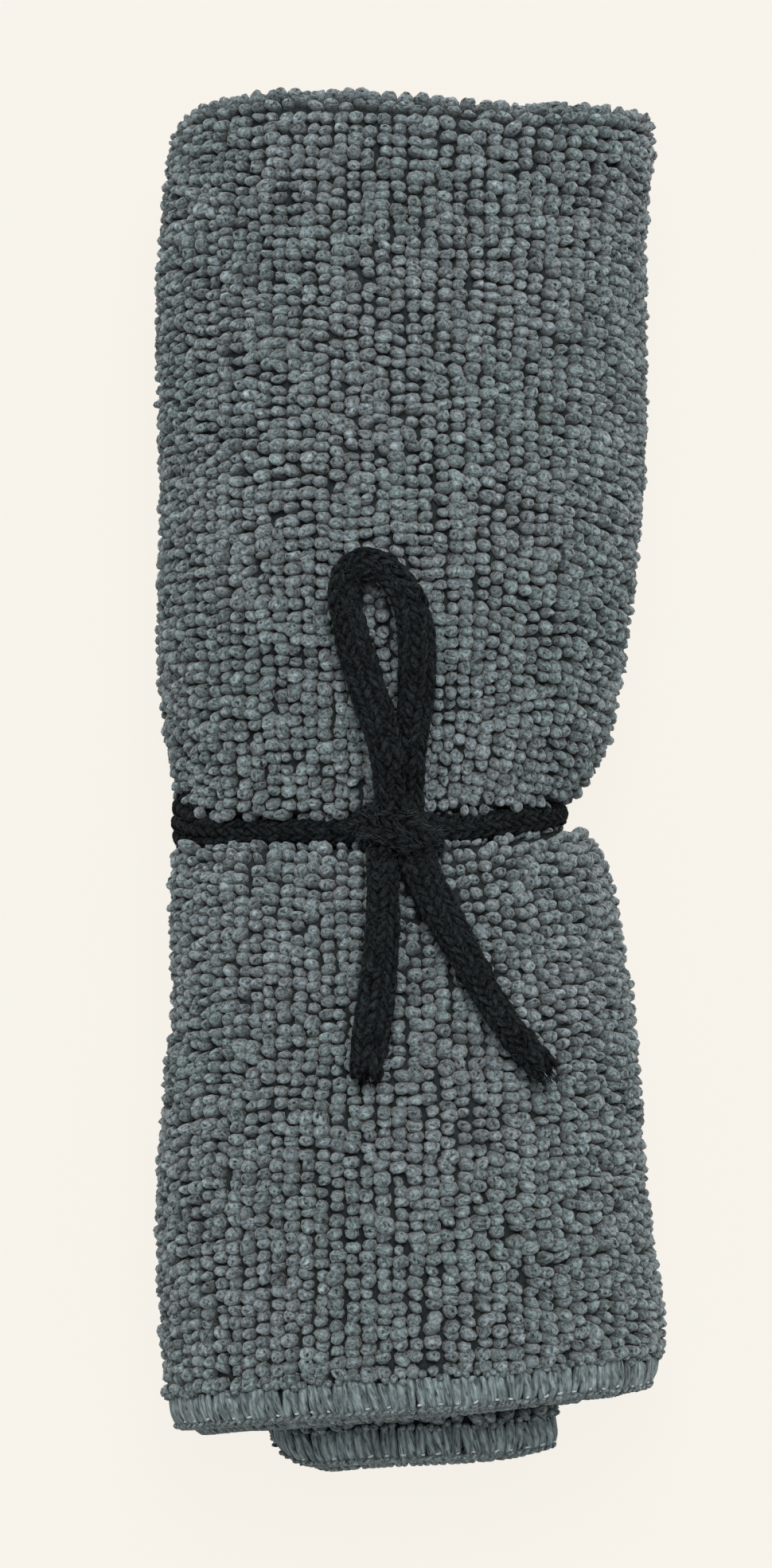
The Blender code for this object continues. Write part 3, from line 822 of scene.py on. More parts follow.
def new_group(name, entries, exits):
    """A node group with its named sockets, and the ends of those inside it."""
    tree = bpy.data.node_groups.new(name, "ShaderNodeTree")
    for label, kind, default in entries:
        made = tree.interface.new_socket(name=label, in_out="INPUT", socket_type=kind)
        made.default_value = default
    for label, kind in exits:
        tree.interface.new_socket(name=label, in_out="OUTPUT", socket_type=kind)
    return tree, tree.nodes.new("NodeGroupInput").outputs, tree.nodes.new("NodeGroupOutput").inputs


def yarn_group():
    """Yarn Fibres: the shade and relief of fine fibres that run along a strand's own grain, with painted
    shade where the tone is low, as in a crevice.
    """
    name = "Yarn Fibres"
    if name in bpy.data.node_groups:
        return bpy.data.node_groups[name]
    tree, into, out = new_group(
        name,
        (
            ("Colour", "NodeSocketColor", MID_GREY),
            ("Tone", "NodeSocketFloat", 1.0),
            ("Grain", "NodeSocketVector", (0.0, 0.0, 0.0)),
            ("Fineness", "NodeSocketFloat", 3.0),
            ("Contrast", "NodeSocketFloat", 0.5),
            ("Crevice", "NodeSocketFloat", 0.4),
        ),
        (("Colour", "NodeSocketColor"), ("Relief", "NodeSocketFloat")),
    )
    laid = add_node(tree, "Mapping", {"Vector": into["Grain"], "Scale": (1.0, 0.35, 1.0)})
    common = {"Detail": 2.5, "Roughness": 0.6}
    along = {"Vector": laid.outputs["Vector"], "Scale": into["Fineness"], "Distortion": 0.6}
    fibres = spread_noise(tree, {**common, **along}, 0.34)
    coarse = maths(tree, "MULTIPLY", into["Fineness"], 0.8)
    even = {"Vector": into["Grain"], "Scale": coarse, "Distortion": 0.3}
    flecks = spread_noise(tree, {**common, **even}, 0.34)
    mixed = maths(tree, "ADD", maths(tree, "MULTIPLY", fibres, 0.55), maths(tree, "MULTIPLY", flecks, 0.45))
    centred = maths(tree, "MULTIPLY", maths(tree, "SUBTRACT", mixed, 0.5), 2.0)
    shade = maths(tree, "ADD", maths(tree, "MULTIPLY", centred, into["Contrast"]), 1.0)
    # Painted shade: the colour is darkened where the tone is low, as in the crevices between curls, wraps
    # and plaits.
    open_share = maths(tree, "SUBTRACT", 1.0, into["Crevice"])
    painted_shade = maths(tree, "ADD", maths(tree, "MULTIPLY", open_share, into["Tone"]), into["Crevice"])
    value = maths(tree, "MAXIMUM", maths(tree, "MULTIPLY", shade, painted_shade), 0.02)
    coloured = add_node(tree, "VectorMath", {0: into["Colour"]})
    coloured.operation = "SCALE"
    tree.links.new(value, coloured.inputs["Scale"])
    tree.links.new(coloured.outputs[0], out["Colour"])
    tree.links.new(mixed, out["Relief"])
    return tree


def dye_group():
    """Dye Variation: slow changes of a colour over the object, from the dyeing and from handling."""
    name = "Dye Variation"
    if name in bpy.data.node_groups:
        return bpy.data.node_groups[name]
    tree, into, out = new_group(
        name,
        (
            ("Colour", "NodeSocketColor", MID_GREY),
            ("Other Colour", "NodeSocketColor", MID_GREY),
            ("Patch Size", "NodeSocketFloat", 40.0),
        ),
        (("Colour", "NodeSocketColor"),),
    )
    spot = tree.nodes.new("ShaderNodeTexCoord")
    patches = {"Vector": spot.outputs["Object"], "Scale": into["Patch Size"], "Detail": 3.0}
    share = spread_noise(tree, patches, 0.35)
    mix = tree.nodes.new("ShaderNodeMix")
    mix.data_type = "RGBA"
    set_inputs(tree, mix, {"Factor": share, 6: into["Colour"], 7: into["Other Colour"]})
    tree.links.new(mix.outputs[2], out["Colour"])
    return tree


def shaded(colour, factors):
    """A colour made weaker or stronger, as a whole or each of its parts."""
    return (*np.minimum(np.array(colour) * factors, 1.0), 1.0)


def yarn_material(name, looks):
    """A material of dyed yarn, with the values of its row in the table."""
    if name in bpy.data.materials:
        return bpy.data.materials[name]
    values = row_named(YARNS, name)
    colour = getattr(looks, values["colour"])
    material = bpy.data.materials.new(name)
    material.use_nodes = True
    tree = material.node_tree
    dye = tree.nodes.new("ShaderNodeGroup")
    dye.node_tree = dye_group()
    shades = {
        "Colour": shaded(colour, values["shade"]),
        "Other Colour": shaded(colour, values["other_shade"]),
        "Patch Size": PATCH_SIZE,
    }
    set_inputs(tree, dye, shades)
    yarn = tree.nodes.new("ShaderNodeGroup")
    yarn.node_tree = yarn_group()
    entries = {"Colour": dye.outputs["Colour"]}
    for attribute, output in (("tone", "Fac"), ("grain", "Vector")):
        node = tree.nodes.new("ShaderNodeAttribute")
        node.attribute_name = attribute
        entries[attribute.capitalize()] = node.outputs[output]
    for key in ("fineness", "contrast", "crevice"):
        entries[key.capitalize()] = values[key]
    set_inputs(tree, yarn, entries)
    bump = add_node(tree, "Bump", {"Distance": values["relief"], "Height": yarn.outputs["Relief"]})
    finish = {
        "Base Color": yarn.outputs["Colour"],
        "Normal": bump.outputs["Normal"],
        "Roughness": values["roughness"],
        "Sheen Weight": values["sheen"],
        "Sheen Roughness": values["sheen_roughness"],
        "Specular IOR Level": values["gloss"],
    }
    set_inputs(tree, tree.nodes["Principled BSDF"], finish)
    return material


def build_ground(looks):
    """The folded and wound cloth under its pile, as one open sheet."""
    reach = BESIDE_CORD[-1]
    cap = np.linspace(-FOLD_REACH, FOLD_REACH, FOLD_ROWS + 2)[1:-1]
    rows = []
    for wound in GROUND_TURNS:
        cord = band_station(LAP_ANGLE - wound)
        top = wall_top(wound)
        hem = hem_level(wound) + EDGE_ROOM + GROUND_SHORT
        below = np.linspace(hem, cord - reach, WALL_ROWS, endpoint=False)
        beside = (cord - BESIDE_CORD[::-1], cord + BESIDE_CORD[1:])
        above = np.linspace(cord + reach, top, WALL_ROWS + 1)[1:]
        outer = np.concatenate((below, *beside, above)) - FOLD_REACH - top
        rows.append(np.concatenate((outer, cap, -outer[::-1])))
    run = np.array(rows)
    wound = np.repeat(GROUND_TURNS, run.shape[1])
    points = folded_point(wound, run.ravel(), BASE_DEPTH)
    half = FOLD_REACH + GROUND_RUN
    flat = np.stack((wound / WOUND, (run.ravel() + half) / (2 * half)), axis=1) * 0.98 + 0.01
    faces = grid_quads(*run.shape, False)[:, ::-1]
    # Its yarn and its tone paint the shade that falls on the ground between the curls.
    tone = np.full(len(points), GROUND_PAINTED_SHADE)
    piece = new_piece("cloth_ground", points, faces, flat, tone, points, "terry_ground", looks)
    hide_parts("cloth_roll")
    return piece


def pile_place(table):
    """Surface points of the pile from the way round, the way from the fold, and the height."""

    def place(a, b, n):
        run = b + n * np.clip(b / FOLD_REACH, -1.0, 1.0)
        return folded_point(np.interp(a, *table), run, BASE_DEPTH - n)

    return place


def column_stations(wound, top, bottom, rise):
    """Stations of one column's curls, evenly spaced over hollows and swells on each side of the cord."""
    angle = round_angle(LAP_ANGLE - wound)
    cord = band_station(angle)
    lip = table_value(LIP_LINE, "reach", angle)
    sides = []
    for way, end in ((1, top), (-1, bottom)):
        y = cord + way * np.arange(lip, way * (end - cord), FINE_STEP)
        steps = steps_of(roll_point(np.full_like(y, wound), y, BASE_DEPTH / 2))
        run = summed(np.where(np.abs(y[1:] - cord) < GROOVE_LIP + FINE_STEP, FINE_STEP, steps))
        rows = round(run[-1] / rise + 0.5)
        sides.append(np.interp(np.arange(rows) * run[-1] / (rows - 0.5), run, y))
    return np.concatenate((sides[0][::-1], sides[1]))


def pile_grid(looks, table, rng):
    """The curls of the outer wall: ways round, ways from the fold, stations, a slow unevenness and the
    spacing round the roll. The numbers that a and y are divided by are lengths of waves."""
    rise = looks.nub_along / MM
    hem_depth = looks.hem_depth / MM
    start = hem_depth + SIDE_GAP
    end = np.interp(FULL_TURN + UNDER_LAP, *reversed(table))
    columns = round((end - start) / (looks.nub_across / MM))
    pitch = (end - start) / columns
    made = []
    for k in range(columns):
        way = start + (k + 0.5) * pitch
        wound = np.interp(way, *table)
        top = wall_top(wound)
        bottom = hem_level(wound) + EDGE_ROOM + hem_depth + HEM_GAP
        y = column_stations(wound, top, bottom, rise)
        sway = COLUMN_SWAY * np.sin(math.tau * y / rng.uniform(*COLUMN_WAVE) + rng.uniform(0, math.tau))
        room = np.minimum(np.minimum(y - bottom, top - y), np.abs(y - band_station(LAP_ANGLE - wound)))
        shift = rng.uniform(-ROW_SHIFT, ROW_SHIFT) * rise * ease(0.0, SHIFT_ROOM, room)
        made.append((way + sway, y - top - FOLD_REACH + shift, y, ease(0.0, DRIFT_ROOM, room)))
    a, b, y, room = np.concatenate(made, axis=1)
    slow = np.sin(a / 17 + y / 41 + 0.5) * np.sin(y / 23 - a / 53 + 1.2)
    a = a + DRIFT_ROUND * np.sin(y / 31 + 0.7) * np.sin(a / 37)
    drift = DRIFT_ALONG * np.sin(a / 23 + 1.9) * np.sin(y / 27)
    b = b + room * (drift + RIPPLE * np.sin(a / 4.1 + y / 7.3))
    a = a + rng.normal(0, PILE_SHIFT[0], size=len(a))
    b = b + rng.normal(0, PILE_SHIFT[1], size=len(b))
    return a, np.minimum(b, -FOLD_REACH), y, slow, pitch


def curl_sizes(rng, count, half_a, half_b, height):
    """Uneven half sizes and heights of curls. A few are large and a few are small."""
    both = rng.normal(1.0, CURL_SPREAD, size=count) * rng.choice(CURL_SIZES, size=count, p=CURL_SHARES)
    sizes = (half_a * both, half_b * both, height)
    return np.array([size * rng.normal(1.0, CURL_OWN_SPREAD, size=count) for size in sizes])


def pressed(spots):
    """How far the tie presses the pile down at points on top of the roll."""
    down = 0.0
    for place in rows_of(PRESSED):
        across = (spots[:, 0] - place["x"]) / place["reach_x"]
        along = (spots[:, 1] - place["y"]) / place["reach_y"]
        down = down + place["by"] * np.exp(-across * across - along * along)
    return down * (spots[:, 2] > AXIS_HEIGHT)


def build_pile(looks):
    """The looped pile: one closely set, uneven curl of microfibre for each loop of the knit."""
    rng = np.random.default_rng(SEED)
    table = winding(PILE_STATION)
    place = pile_place(table)
    shapes = {"curl": bud_shape(rng, "curl")}
    a, b, y, slow, pitch = pile_grid(looks, table, rng)
    angle = LAP_ANGLE - np.interp(a, *table)
    away = y - band_station(angle)
    lip = np.exp(-(((np.abs(away) - LIP_AT) / LIP_REACH) ** 2))
    share = groove_share(angle, y)
    steady = np.clip(LIP_STEADY * share, 0.0, 0.9)
    drop = table_value(LIP_LINE, "drop", round_angle(angle)) * np.exp(-((away / LIP_SPREAD) ** 2))
    raised = LIP_RAISE * share - drop - pressed(place(a, b, 0 * a))
    wide = stretch(place, a, b)[0]
    sizes = curl_sizes(
        rng,
        len(a),
        pitch * CURL_WIDE * np.clip(wide, *CURL_WIDE_BOUNDS) * (1 + 0.05 * slow),
        looks.nub_along / MM * CURL_LONG * (1 - 0.06 * slow),
        looks.nub_height / MM * np.clip(wide, *CURL_TALL_BOUNDS),
    )
    twist = rng.normal(0, PILE_TWIST, size=len(a))
    pick = rng.integers(0, len(shapes["curl"].points), size=len(a))
    lean = rng.normal(PILE_LEAN, PILE_LEANS, size=len(a)) * (1 - lip) - np.sign(away) * LIP_LEAN * lip
    shapes["hidden_curl"] = bud_shape(rng, "hidden_curl")
    where = np.stack((a, b, CURL_SUNK * sizes[2] + raised))
    pieces = []
    for part in rows_of(PILE_PIECES):
        own = (angle >= part["low"]) & (angle < part["high"])
        lie = (lean[own], steady[own])
        shape = shapes[part["bud"]]
        curls = scatter(place, where[:, own], sizes[:, own], twist[own], shape, pick[own], *lie)
        pieces.append(new_crowd(part["name"], [curls], "terry_pile", looks, rng, PILE_TONES, PILE_SPIN))
    pieces.append(build_rim_pile(looks, rng, shapes["curl"], place, table))
    return pieces


def build_rim_pile(looks, rng, shape, place, table):
    """The puffier curls over the folds of every turn, and those of the inner turns that show."""
    pitch = looks.nub_across / MM * CAP_SPACING
    rise = looks.nub_along / MM
    around = CAP_FROM + (np.arange(round((table[0][-1] - 2 * CAP_FROM) / pitch)) + 0.5) * pitch
    wound = np.interp(around, *table)
    deep = around[wound > FULL_TURN + UNDER_LAP]
    core = around[wound > CORE_FROM]
    core_wound = np.interp(core, *table)
    core_top = hem_level(core_wound) + EDGE_ROOM + looks.hem_depth / MM + CORE_GAP
    core_run = FOLD_REACH + wall_top(core_wound) - core_top
    rows = [(around, FOLD_REACH * (2 * (k + 0.5) / CAP_ROWS - 1)) for k in range(CAP_ROWS)]
    rows += [(around, FOLD_REACH + rise * (k + 0.5)) for k in range(INNER_ROWS)]
    rows += [(deep, -FOLD_REACH - rise * (k + 0.5)) for k in range(DEEP_ROWS)]
    rows += [(core, rise * (k + 0.5) - core_run) for k in range(CORE_ROWS)]
    a = np.concatenate([ways for ways, _ in rows])
    b = np.concatenate([run + 0 * ways for ways, run in rows])
    a = a + rng.normal(0, CAP_SHIFT[0], size=len(a))
    b = b + rng.normal(0, CAP_SHIFT[1], size=len(b))
    wide, long = stretch(place, a, b)
    sizes = curl_sizes(
        rng,
        len(a),
        pitch * CAP_WIDE * np.clip(wide, *CAP_WIDE_BOUNDS),
        rise * CAP_LONG * np.clip(long, *CAP_LONG_BOUNDS),
        looks.nub_height / MM * CAP_TALL,
    )
    twist = rng.normal(0, CAP_TWIST, size=len(a))
    pick = rng.integers(0, len(shape.points), size=len(a))
    curls = scatter(place, (a, b, CAP_SUNK * sizes[2]), sizes, twist, shape, pick)
    return new_crowd("pile_folds_and_core", [curls], "terry_pile", looks, rng, PILE_TONES, PILE_SPIN)


def wrap_shape(hem_depth, half):
    """One overlock wrap: a bulging strip up the front of an edge, round it and up its back.

    Its points are (way along the edge, distance in from the edge, offset from the cloth's middle).
    """
    bend = np.radians(np.linspace(0, 180, 6))[1:-1]
    facing = np.concatenate((np.zeros(WRAP_FRONT_ROWS), bend, np.full(WRAP_BACK_ROWS, math.pi)))[:, None]
    front = np.linspace(hem_depth, HEM_HALF, WRAP_FRONT_ROWS)
    back = np.linspace(HEM_HALF, hem_depth * WRAP_BACK, WRAP_BACK_ROWS)
    inward = np.concatenate((front, HEM_HALF * (1 - np.sin(bend)), back))[:, None]
    puff = np.ones(inward.shape)
    puff[[0, 1, -1], 0] = (0.35, 0.9, 0.2)
    across = np.linspace(-1, 1, WRAP_COLUMNS)
    arch = np.sqrt(np.maximum(1 - across**2, 0))
    bulge = WRAP_SWELL * puff * arch
    a = half * across * (0.7 + 0.3 * puff) + WRAP_SLANT * (inward - hem_depth / 2)
    b = inward - np.sin(facing) * bulge
    n = np.cos(facing) * (HEM_HALF + bulge) - WRAP_SUNK
    points = np.stack((a, b, n), axis=-1).reshape(1, -1, 3)
    rows = len(inward)
    flat = grid_map(np.linspace(0, 1, rows), np.linspace(0, 1, WRAP_COLUMNS)) * MARGIN + (1 - MARGIN) / 2
    # The tone is painted shade: lower at both sides of the wrap, where the next wraps shade it.
    return Shape(points, grid_triangles(rows, WRAP_COLUMNS, False), flat, 0.25 + 0.75 * np.tile(arch, rows))


def set_wraps(place, along, shape, rng, hem_depth):
    """Overlock wraps set along an edge, each a little different."""
    form = np.repeat(shape.points, len(along), axis=0)
    ways, inward, n = np.moveaxis(form, -1, 0)
    wide, lean, tall = (rng.normal(*values, size=(len(along), 1)) for values in WRAP_VARIATION)
    a = along[:, None] + ways * wide + lean * (inward - hem_depth / 2)
    b = np.where(n > 0, inward * tall, inward)
    points = place(a.ravel(), b.ravel(), n.ravel()).reshape(form.shape)
    middle = np.full_like(along, hem_depth / 2)
    side, forward = slopes(place, along, middle, HEM_HALF)
    outward = place(along, middle, HEM_HALF + STEP) - place(along, middle, HEM_HALF)
    hand = np.median(np.sign((np.cross(side, forward) * outward).sum(axis=-1)))
    made = shape if hand < 0 else shape._replace(faces=shape.faces[:, ::-1])
    return points, form * WRAP_GRAIN, made


def sewn_edges():
    """The four sewn edges: the outer and inner layer, along the hem and along the free side. Each has
    its name, its surface, and where along it the stitches start and end."""
    hem_table = winding(HEM_STATION)
    side_table = winding(SIDE_STATION)

    def curl(b):
        return HEM_CURL * (1 - ease(0.0, HEM_CURL_REACH, b))

    def hem_outer(a, b, n):
        wound = np.interp(a, *hem_table)
        return roll_point(wound, hem_level(wound) + EDGE_ROOM + b, BASE_DEPTH - n + curl(b))

    def hem_inner(a, b, n):
        wound = np.interp(a, *hem_table)
        depth = LAYER - BASE_DEPTH + n + curl(b)
        return roll_point(wound, hem_level(wound) + HEM_INNER_ROOM + b, depth)

    def side_outer(a, b, n):
        return roll_point(np.interp(b, *side_table), a, BASE_DEPTH - n)

    def side_inner(a, b, n):
        return roll_point(np.interp(b + SIDE_INNER_BACK, *side_table), a, LAYER - BASE_DEPTH + n)

    hem_ends = (STITCHES_FROM, hem_table[0][-1] - STITCHES_FROM)
    side_ends = (hem_level(0.0) + EDGE_ROOM + SIDE_STITCHES_FROM, fold_level(0.0) - RIM)
    return (
        ("hem_outer", hem_outer, *hem_ends),
        ("hem_inner", hem_inner, *hem_ends),
        ("side_outer", side_outer, *side_ends),
        ("side_inner", side_inner, *side_ends),
    )


def edge_place(place):
    """Points on the very edge of a hem: the way along it, across its thickness, and out of it."""

    def on_edge(a, b, n):
        return place(a, HEM_HALF - n, -b)

    return on_edge


def overlock_buds(place, along, shape, rng, hem_depth, row):
    """One row of buds along an edge: the knots at the top of the wraps, or a side of the chain."""
    count = len(along)
    depth = row["depth_share"] * hem_depth + row["inward"]
    where = (
        along + rng.normal(0, 0.10, size=count),
        depth + rng.normal(0, row["inward_spread"], size=count),
        np.full(count, row["offset"]),
    )
    sizes = (
        row["half_a"] * rng.normal(1, 0.12, size=count),
        row["half_b"] * rng.normal(1, 0.12, size=count),
        row["tall"] * rng.normal(1, 0.10, size=count),
    )
    twist = row["twist"] + rng.normal(0, row["twist_spread"], size=count)
    pick = rng.integers(0, len(shape.points), size=count)
    return scatter(edge_place(place) if row["on_edge"] else place, where, sizes, twist, shape, pick)


def needle_stitches(place, along, shape, rng):
    """The short stitches of thin thread that show between the wraps of an edge."""
    spots = along[::2] + rng.normal(0, NEEDLE_SHIFT, size=len(along[::2]))
    spots = spots[rng.random(len(spots)) < NEEDLE_SHARE]
    count = len(spots)
    sizes = (
        rng.uniform(*NEEDLE_LONG, size=count),
        np.full(count, NEEDLE_WIDE),
        rng.uniform(*NEEDLE_TALL, size=count),
    )
    where = (spots, NEEDLE_IN + rng.normal(0, 0.10, size=count), np.full(count, HEM_HALF + NEEDLE_OVER))
    twist = rng.normal(8, 12, size=count)
    return scatter(place, where, sizes, twist, shape, rng.integers(0, len(shape.points), size=count))


def build_overlock(looks):
    """The overlocked edges: wraps, the knotted loops at their tops and the chain along the edge."""
    rng = np.random.default_rng(SEED + 1)
    pitch = looks.stitch_pitch / MM
    hem_depth = looks.hem_depth / MM
    wrap = wrap_shape(hem_depth, pitch * WRAP_HALF)
    bud = bud_shape(rng, "overlock")
    pieces = []
    needles = []
    for name, place, start, end in sewn_edges():
        along = start + (np.arange(int((end - start) / pitch)) + 0.5) * pitch
        along = along + rng.normal(0, STITCH_SHIFT, size=len(along))
        groups = [set_wraps(place, along, wrap, rng, hem_depth)]
        for row in rows_of(OVERLOCK_BUDS):
            groups.append(overlock_buds(place, along, bud, rng, hem_depth, row))
        pieces.append(new_crowd("overlock_" + name, groups, "overlock_thread", looks, rng))
        needles.append(needle_stitches(place, along, bud, rng))
    pieces.append(new_crowd("needle_stitches", needles, "needle_thread", looks, rng, NEEDLE_TONES))
    return pieces


def surface_under(tree, x, y):
    """The point and the direction of the cloth's surface right under a place, or nothing beside it."""
    hit, way, _, _ = tree.ray_cast(Vector((x, y, FEEL_FROM)) * MM, Vector((0, 0, -1)))
    return hit, way


def resting_height(tree, x, y, radius):
    """The height of a strand's centre where it just clears the cloth."""
    clear = radius + CLEARANCE
    best = 0.0
    for share in FEEL_SHARES:
        for step in range(FEEL_DIRECTIONS if share else 1):
            turn = math.tau * step / FEEL_DIRECTIONS
            beside = share * clear
            hit, _ = surface_under(tree, x + beside * math.cos(turn), y + beside * math.sin(turn))
            if hit is not None:
                best = max(best, hit.z / MM + clear * math.sqrt(1 - share * share))
    return best


def lay_route(tree, route, step, both_at_knot):
    """The points of a strand that lies on the cloth. It is thinner by the knot."""
    points, at = finer(np.array(route[1:], dtype=float), step, 2)
    to_knot = np.minimum(at, at[-1] - at) if both_at_knot else at
    shares = TAPER_AT_KNOT + (1 - TAPER_AT_KNOT) * ease(0.0, TAPER_REACH, to_knot)
    for point, share in zip(points, shares):
        point[2] += resting_height(tree, point[0], point[1], CORD / 2 * share)
    return points


def cloth_ups(tree, points):
    """The cloth's upward direction under the points of a strand, evened out."""
    found = []
    for x, y, _ in points:
        normal = Vector((0, 0, 0))
        for dx, dy in FEEL_BESIDE:
            hit, way = surface_under(tree, x + dx, y + dy)
            if hit is not None:
                normal = normal + way
        found.append(tuple(normal.normalized()) if normal.length else (0.0, 0.0, 1.0))
    return unit(np.array(found) * LEAN_KEPT)


def band_route():
    """The stretch round the waist, from the knot's right side under the roll to its left side, and its
    upward directions."""
    x, rise = rounded(BAND_ANGLES, BAND_LEFT, BAND_RIGHT, BAND_TOP - AXIS_HEIGHT, AXIS_HEIGHT - BAND_UNDER)
    line = np.stack((x, band_station(BAND_ANGLES), AXIS_HEIGHT + rise), axis=1)
    return line, unit(np.stack((x, 0 * x, rise), axis=1))


class Strand:
    """A stretch of flat cord: its line, its own sideways and upward directions and half sizes."""

    def __init__(self, line, ups, half_width, half_height, lean):
        self.line = line
        self.run = summed(steps_of(line))
        tangent = unit(np.gradient(line, axis=0))
        side = unit(np.cross(tangent, ups))
        ups = np.cross(side, tangent)
        turn = np.radians(lean)[:, None]
        self.side = side * np.cos(turn) + ups * np.sin(turn)
        self.up = ups * np.cos(turn) - side * np.sin(turn)
        self.half_width = half_width
        self.half_height = half_height
        self.girth = (np.mean(half_width) + np.mean(half_height)) / 2

    def read(self, values, b):
        """Values along the strand at the distances b."""
        if values.ndim == 1:
            return np.interp(b, self.run, values)
        return np.stack([np.interp(b, self.run, values[:, k]) for k in range(3)], axis=-1)

    def oval(self, b, turn, grow, size=1.0):
        """Points of its oval sections at the distances b, with their half sizes grown and scaled."""
        width = (self.read(self.half_width, b) + grow) * size * np.cos(turn)
        height = (self.read(self.half_height, b) + grow) * size * np.sin(turn)
        across = self.read(self.side, b) * width[..., None]
        return self.read(self.line, b) + across + self.read(self.up, b) * height[..., None]

    def place(self, a, b, n):
        """Points of its surface: the way round it, the way along it and the height over it."""
        return self.oval(np.clip(b, 0.0, self.run[-1]), a / self.girth, n)


def lie_strand(points, ups, lie):
    """A strand on a finer line, with its widths and lean read from its table."""
    line, at = finer(np.concatenate((points, ups), axis=1), LIE_STEP)
    values = [table_value(lie, name, at / at[-1]) for name in LIE[1:]]
    return Strand(line[:, :3], unit(line[:, 3:]), *values)


def knot_strand(table, goes_round):
    """A strand of the knot, facing away from the knot's middle where it goes round it, or else up."""
    values = np.array(table[1:], dtype=float)
    ups = np.tile((0.0, 0.0, 1.0), (len(values), 1))
    if goes_round:
        ups = unit((values[:, :3] - KNOT_MIDDLE) * ROUND_WAYS)
    line = finer(np.concatenate((values, ups), axis=1), KNOT_STEP)[0]
    return Strand(line[:, :3], unit(line[:, 5:]), line[:, 3], line[:, 4], np.zeros(len(line)))


def core_rings(strand):
    """Where a core's rings stand along its strand, and how small those at its round ends are."""
    length = strand.run[-1]
    body = np.linspace(CORE_BODY_FROM, length - CORE_BODY_FROM, len(strand.run))
    b = np.concatenate((CORE_END, body, length - CORE_END[::-1]))
    return b, np.concatenate((CORE_END_SIZE, np.ones(len(body)), CORE_END_SIZE[::-1]))


def strand_core(name, strand, looks, inset):
    """The cord's plain inside, as a closed tube of its oval section."""
    b, size = core_rings(strand)
    way_round = np.arange(CORE_SIDES) / CORE_SIDES
    points = strand.oval(b[:, None], math.tau * way_round, -inset, size[:, None]).reshape(-1, 3)
    faces = grid_triangles(len(b), CORE_SIDES, True)[:, ::-1]
    flat = grid_map(b / strand.run[-1] * 0.98 + 0.01, way_round * 0.9 + 0.05)
    # The core's low tone is painted shade: the core shows only in the gaps between the plaits.
    tone = np.full(len(points), CORE_PAINTED_SHADE)
    return new_piece(name, points, faces, flat, tone, points, "cord_yarn", looks)


def plaits(strand, looks, rng, shape):
    """The plaits on a strand, in slanted columns that mirror each other."""
    pitch = looks.plait_pitch / MM
    columns = looks.plait_columns
    groups = []
    for k in range(columns):
        b = np.arange(0.5 * (k % 2) * pitch + PLAIT_FROM, strand.run[-1] - PLAIT_TO, pitch)
        count = len(b)
        b = b + rng.normal(0, 0.08, size=count)
        radius = (strand.read(strand.half_width, b) + strand.read(strand.half_height, b)) / 2
        sizes = (
            math.pi * radius / columns * PLAIT_WIDE * rng.normal(1, 0.06, size=count),
            pitch * PLAIT_LONG * rng.normal(1, 0.06, size=count),
            PLAIT_TALL * rng.normal(1, 0.10, size=count),
        )
        slant = (PLAIT_SLANT if k % 2 else -PLAIT_SLANT) + rng.normal(0, 4, size=count)
        a = np.full(count, math.tau * strand.girth * (k + 0.5) / columns)
        pick = rng.integers(0, len(shape.points), size=count)
        where = (a, b, np.full(count, -PLAIT_SUNK))
        groups.append(scatter(strand.place, where, sizes, slant, shape, pick, PLAIT_LEAN))
    return groups


def hairs(root, run, curl, axes, radius, sides):
    """Thin curved tubes from their roots: their points, faces and bake map. Run is the way from root to
    tip, curl how far the tip bends off it, axes two directions across, and radius one for each ring."""
    share = np.linspace(0, 1, len(radius))
    line = root[:, None] + run[:, None] * share[:, None] + curl[:, None] * share[:, None] ** 2
    corner = math.tau * np.arange(sides)[:, None] / sides
    first, second = (np.reshape(axis, (-1, 1, 1, 3)) for axis in axes)
    ring = (first * np.cos(corner) + second * np.sin(corner)) * radius[:, None, None]
    points = (line[:, :, None] + ring).reshape(len(root), -1, 3)
    flat = grid_map(share, np.arange(sides) / sides)[:, ::-1] * MARGIN
    return points, grid_triangles(len(radius), sides, True), flat


def fuzz(strand, rng, looks, name, per_mm, grow=1.0):
    """The short loose fibres on a strand, which follow its plaits and stand off them a little."""
    count = int(per_mm * strand.run[-1])
    each = (count, 1)
    a = rng.uniform(0, math.tau * strand.girth, size=count)
    b = rng.uniform(FUZZ_FROM, strand.run[-1] - FUZZ_FROM, size=count)
    root = strand.place(a, b, -FUZZ_SUNK)
    out = unit(strand.place(a, b, STEP) - root)
    side = unit(strand.place(a + STEP, b, 0.0) - strand.place(a - STEP, b, 0.0))
    columns = np.floor(a / (math.tau * strand.girth) * looks.plait_columns)
    slant = np.radians(np.where(columns % 2 == 1, PLAIT_SLANT, -PLAIT_SLANT))[:, None]
    way = (np.cross(out, side) * np.cos(slant) - side * np.sin(slant)) * rng.choice((-1, 1), size=each)
    way = way + out * rng.uniform(*FUZZ_STAND, size=each) + side * rng.normal(0, FUZZ_ASKEW, size=each)
    run = unit(way) * grow * rng.uniform(*FUZZ_LENGTH, size=each)
    curl = rng.normal(0, FUZZ_CURL, size=(count, 3))
    axes = (unit(np.cross(way, out + 0.01)), out)
    points, faces, flat = hairs(root, run, curl, axes, FUZZ_RADIUS * grow * FUZZ_TAPER, 3)
    group = (points, 0 * points, Shape(points, faces, flat, np.ones(len(flat))))
    return new_crowd(name, [group], "cord_fluff", looks, rng, FUZZ_TONES)


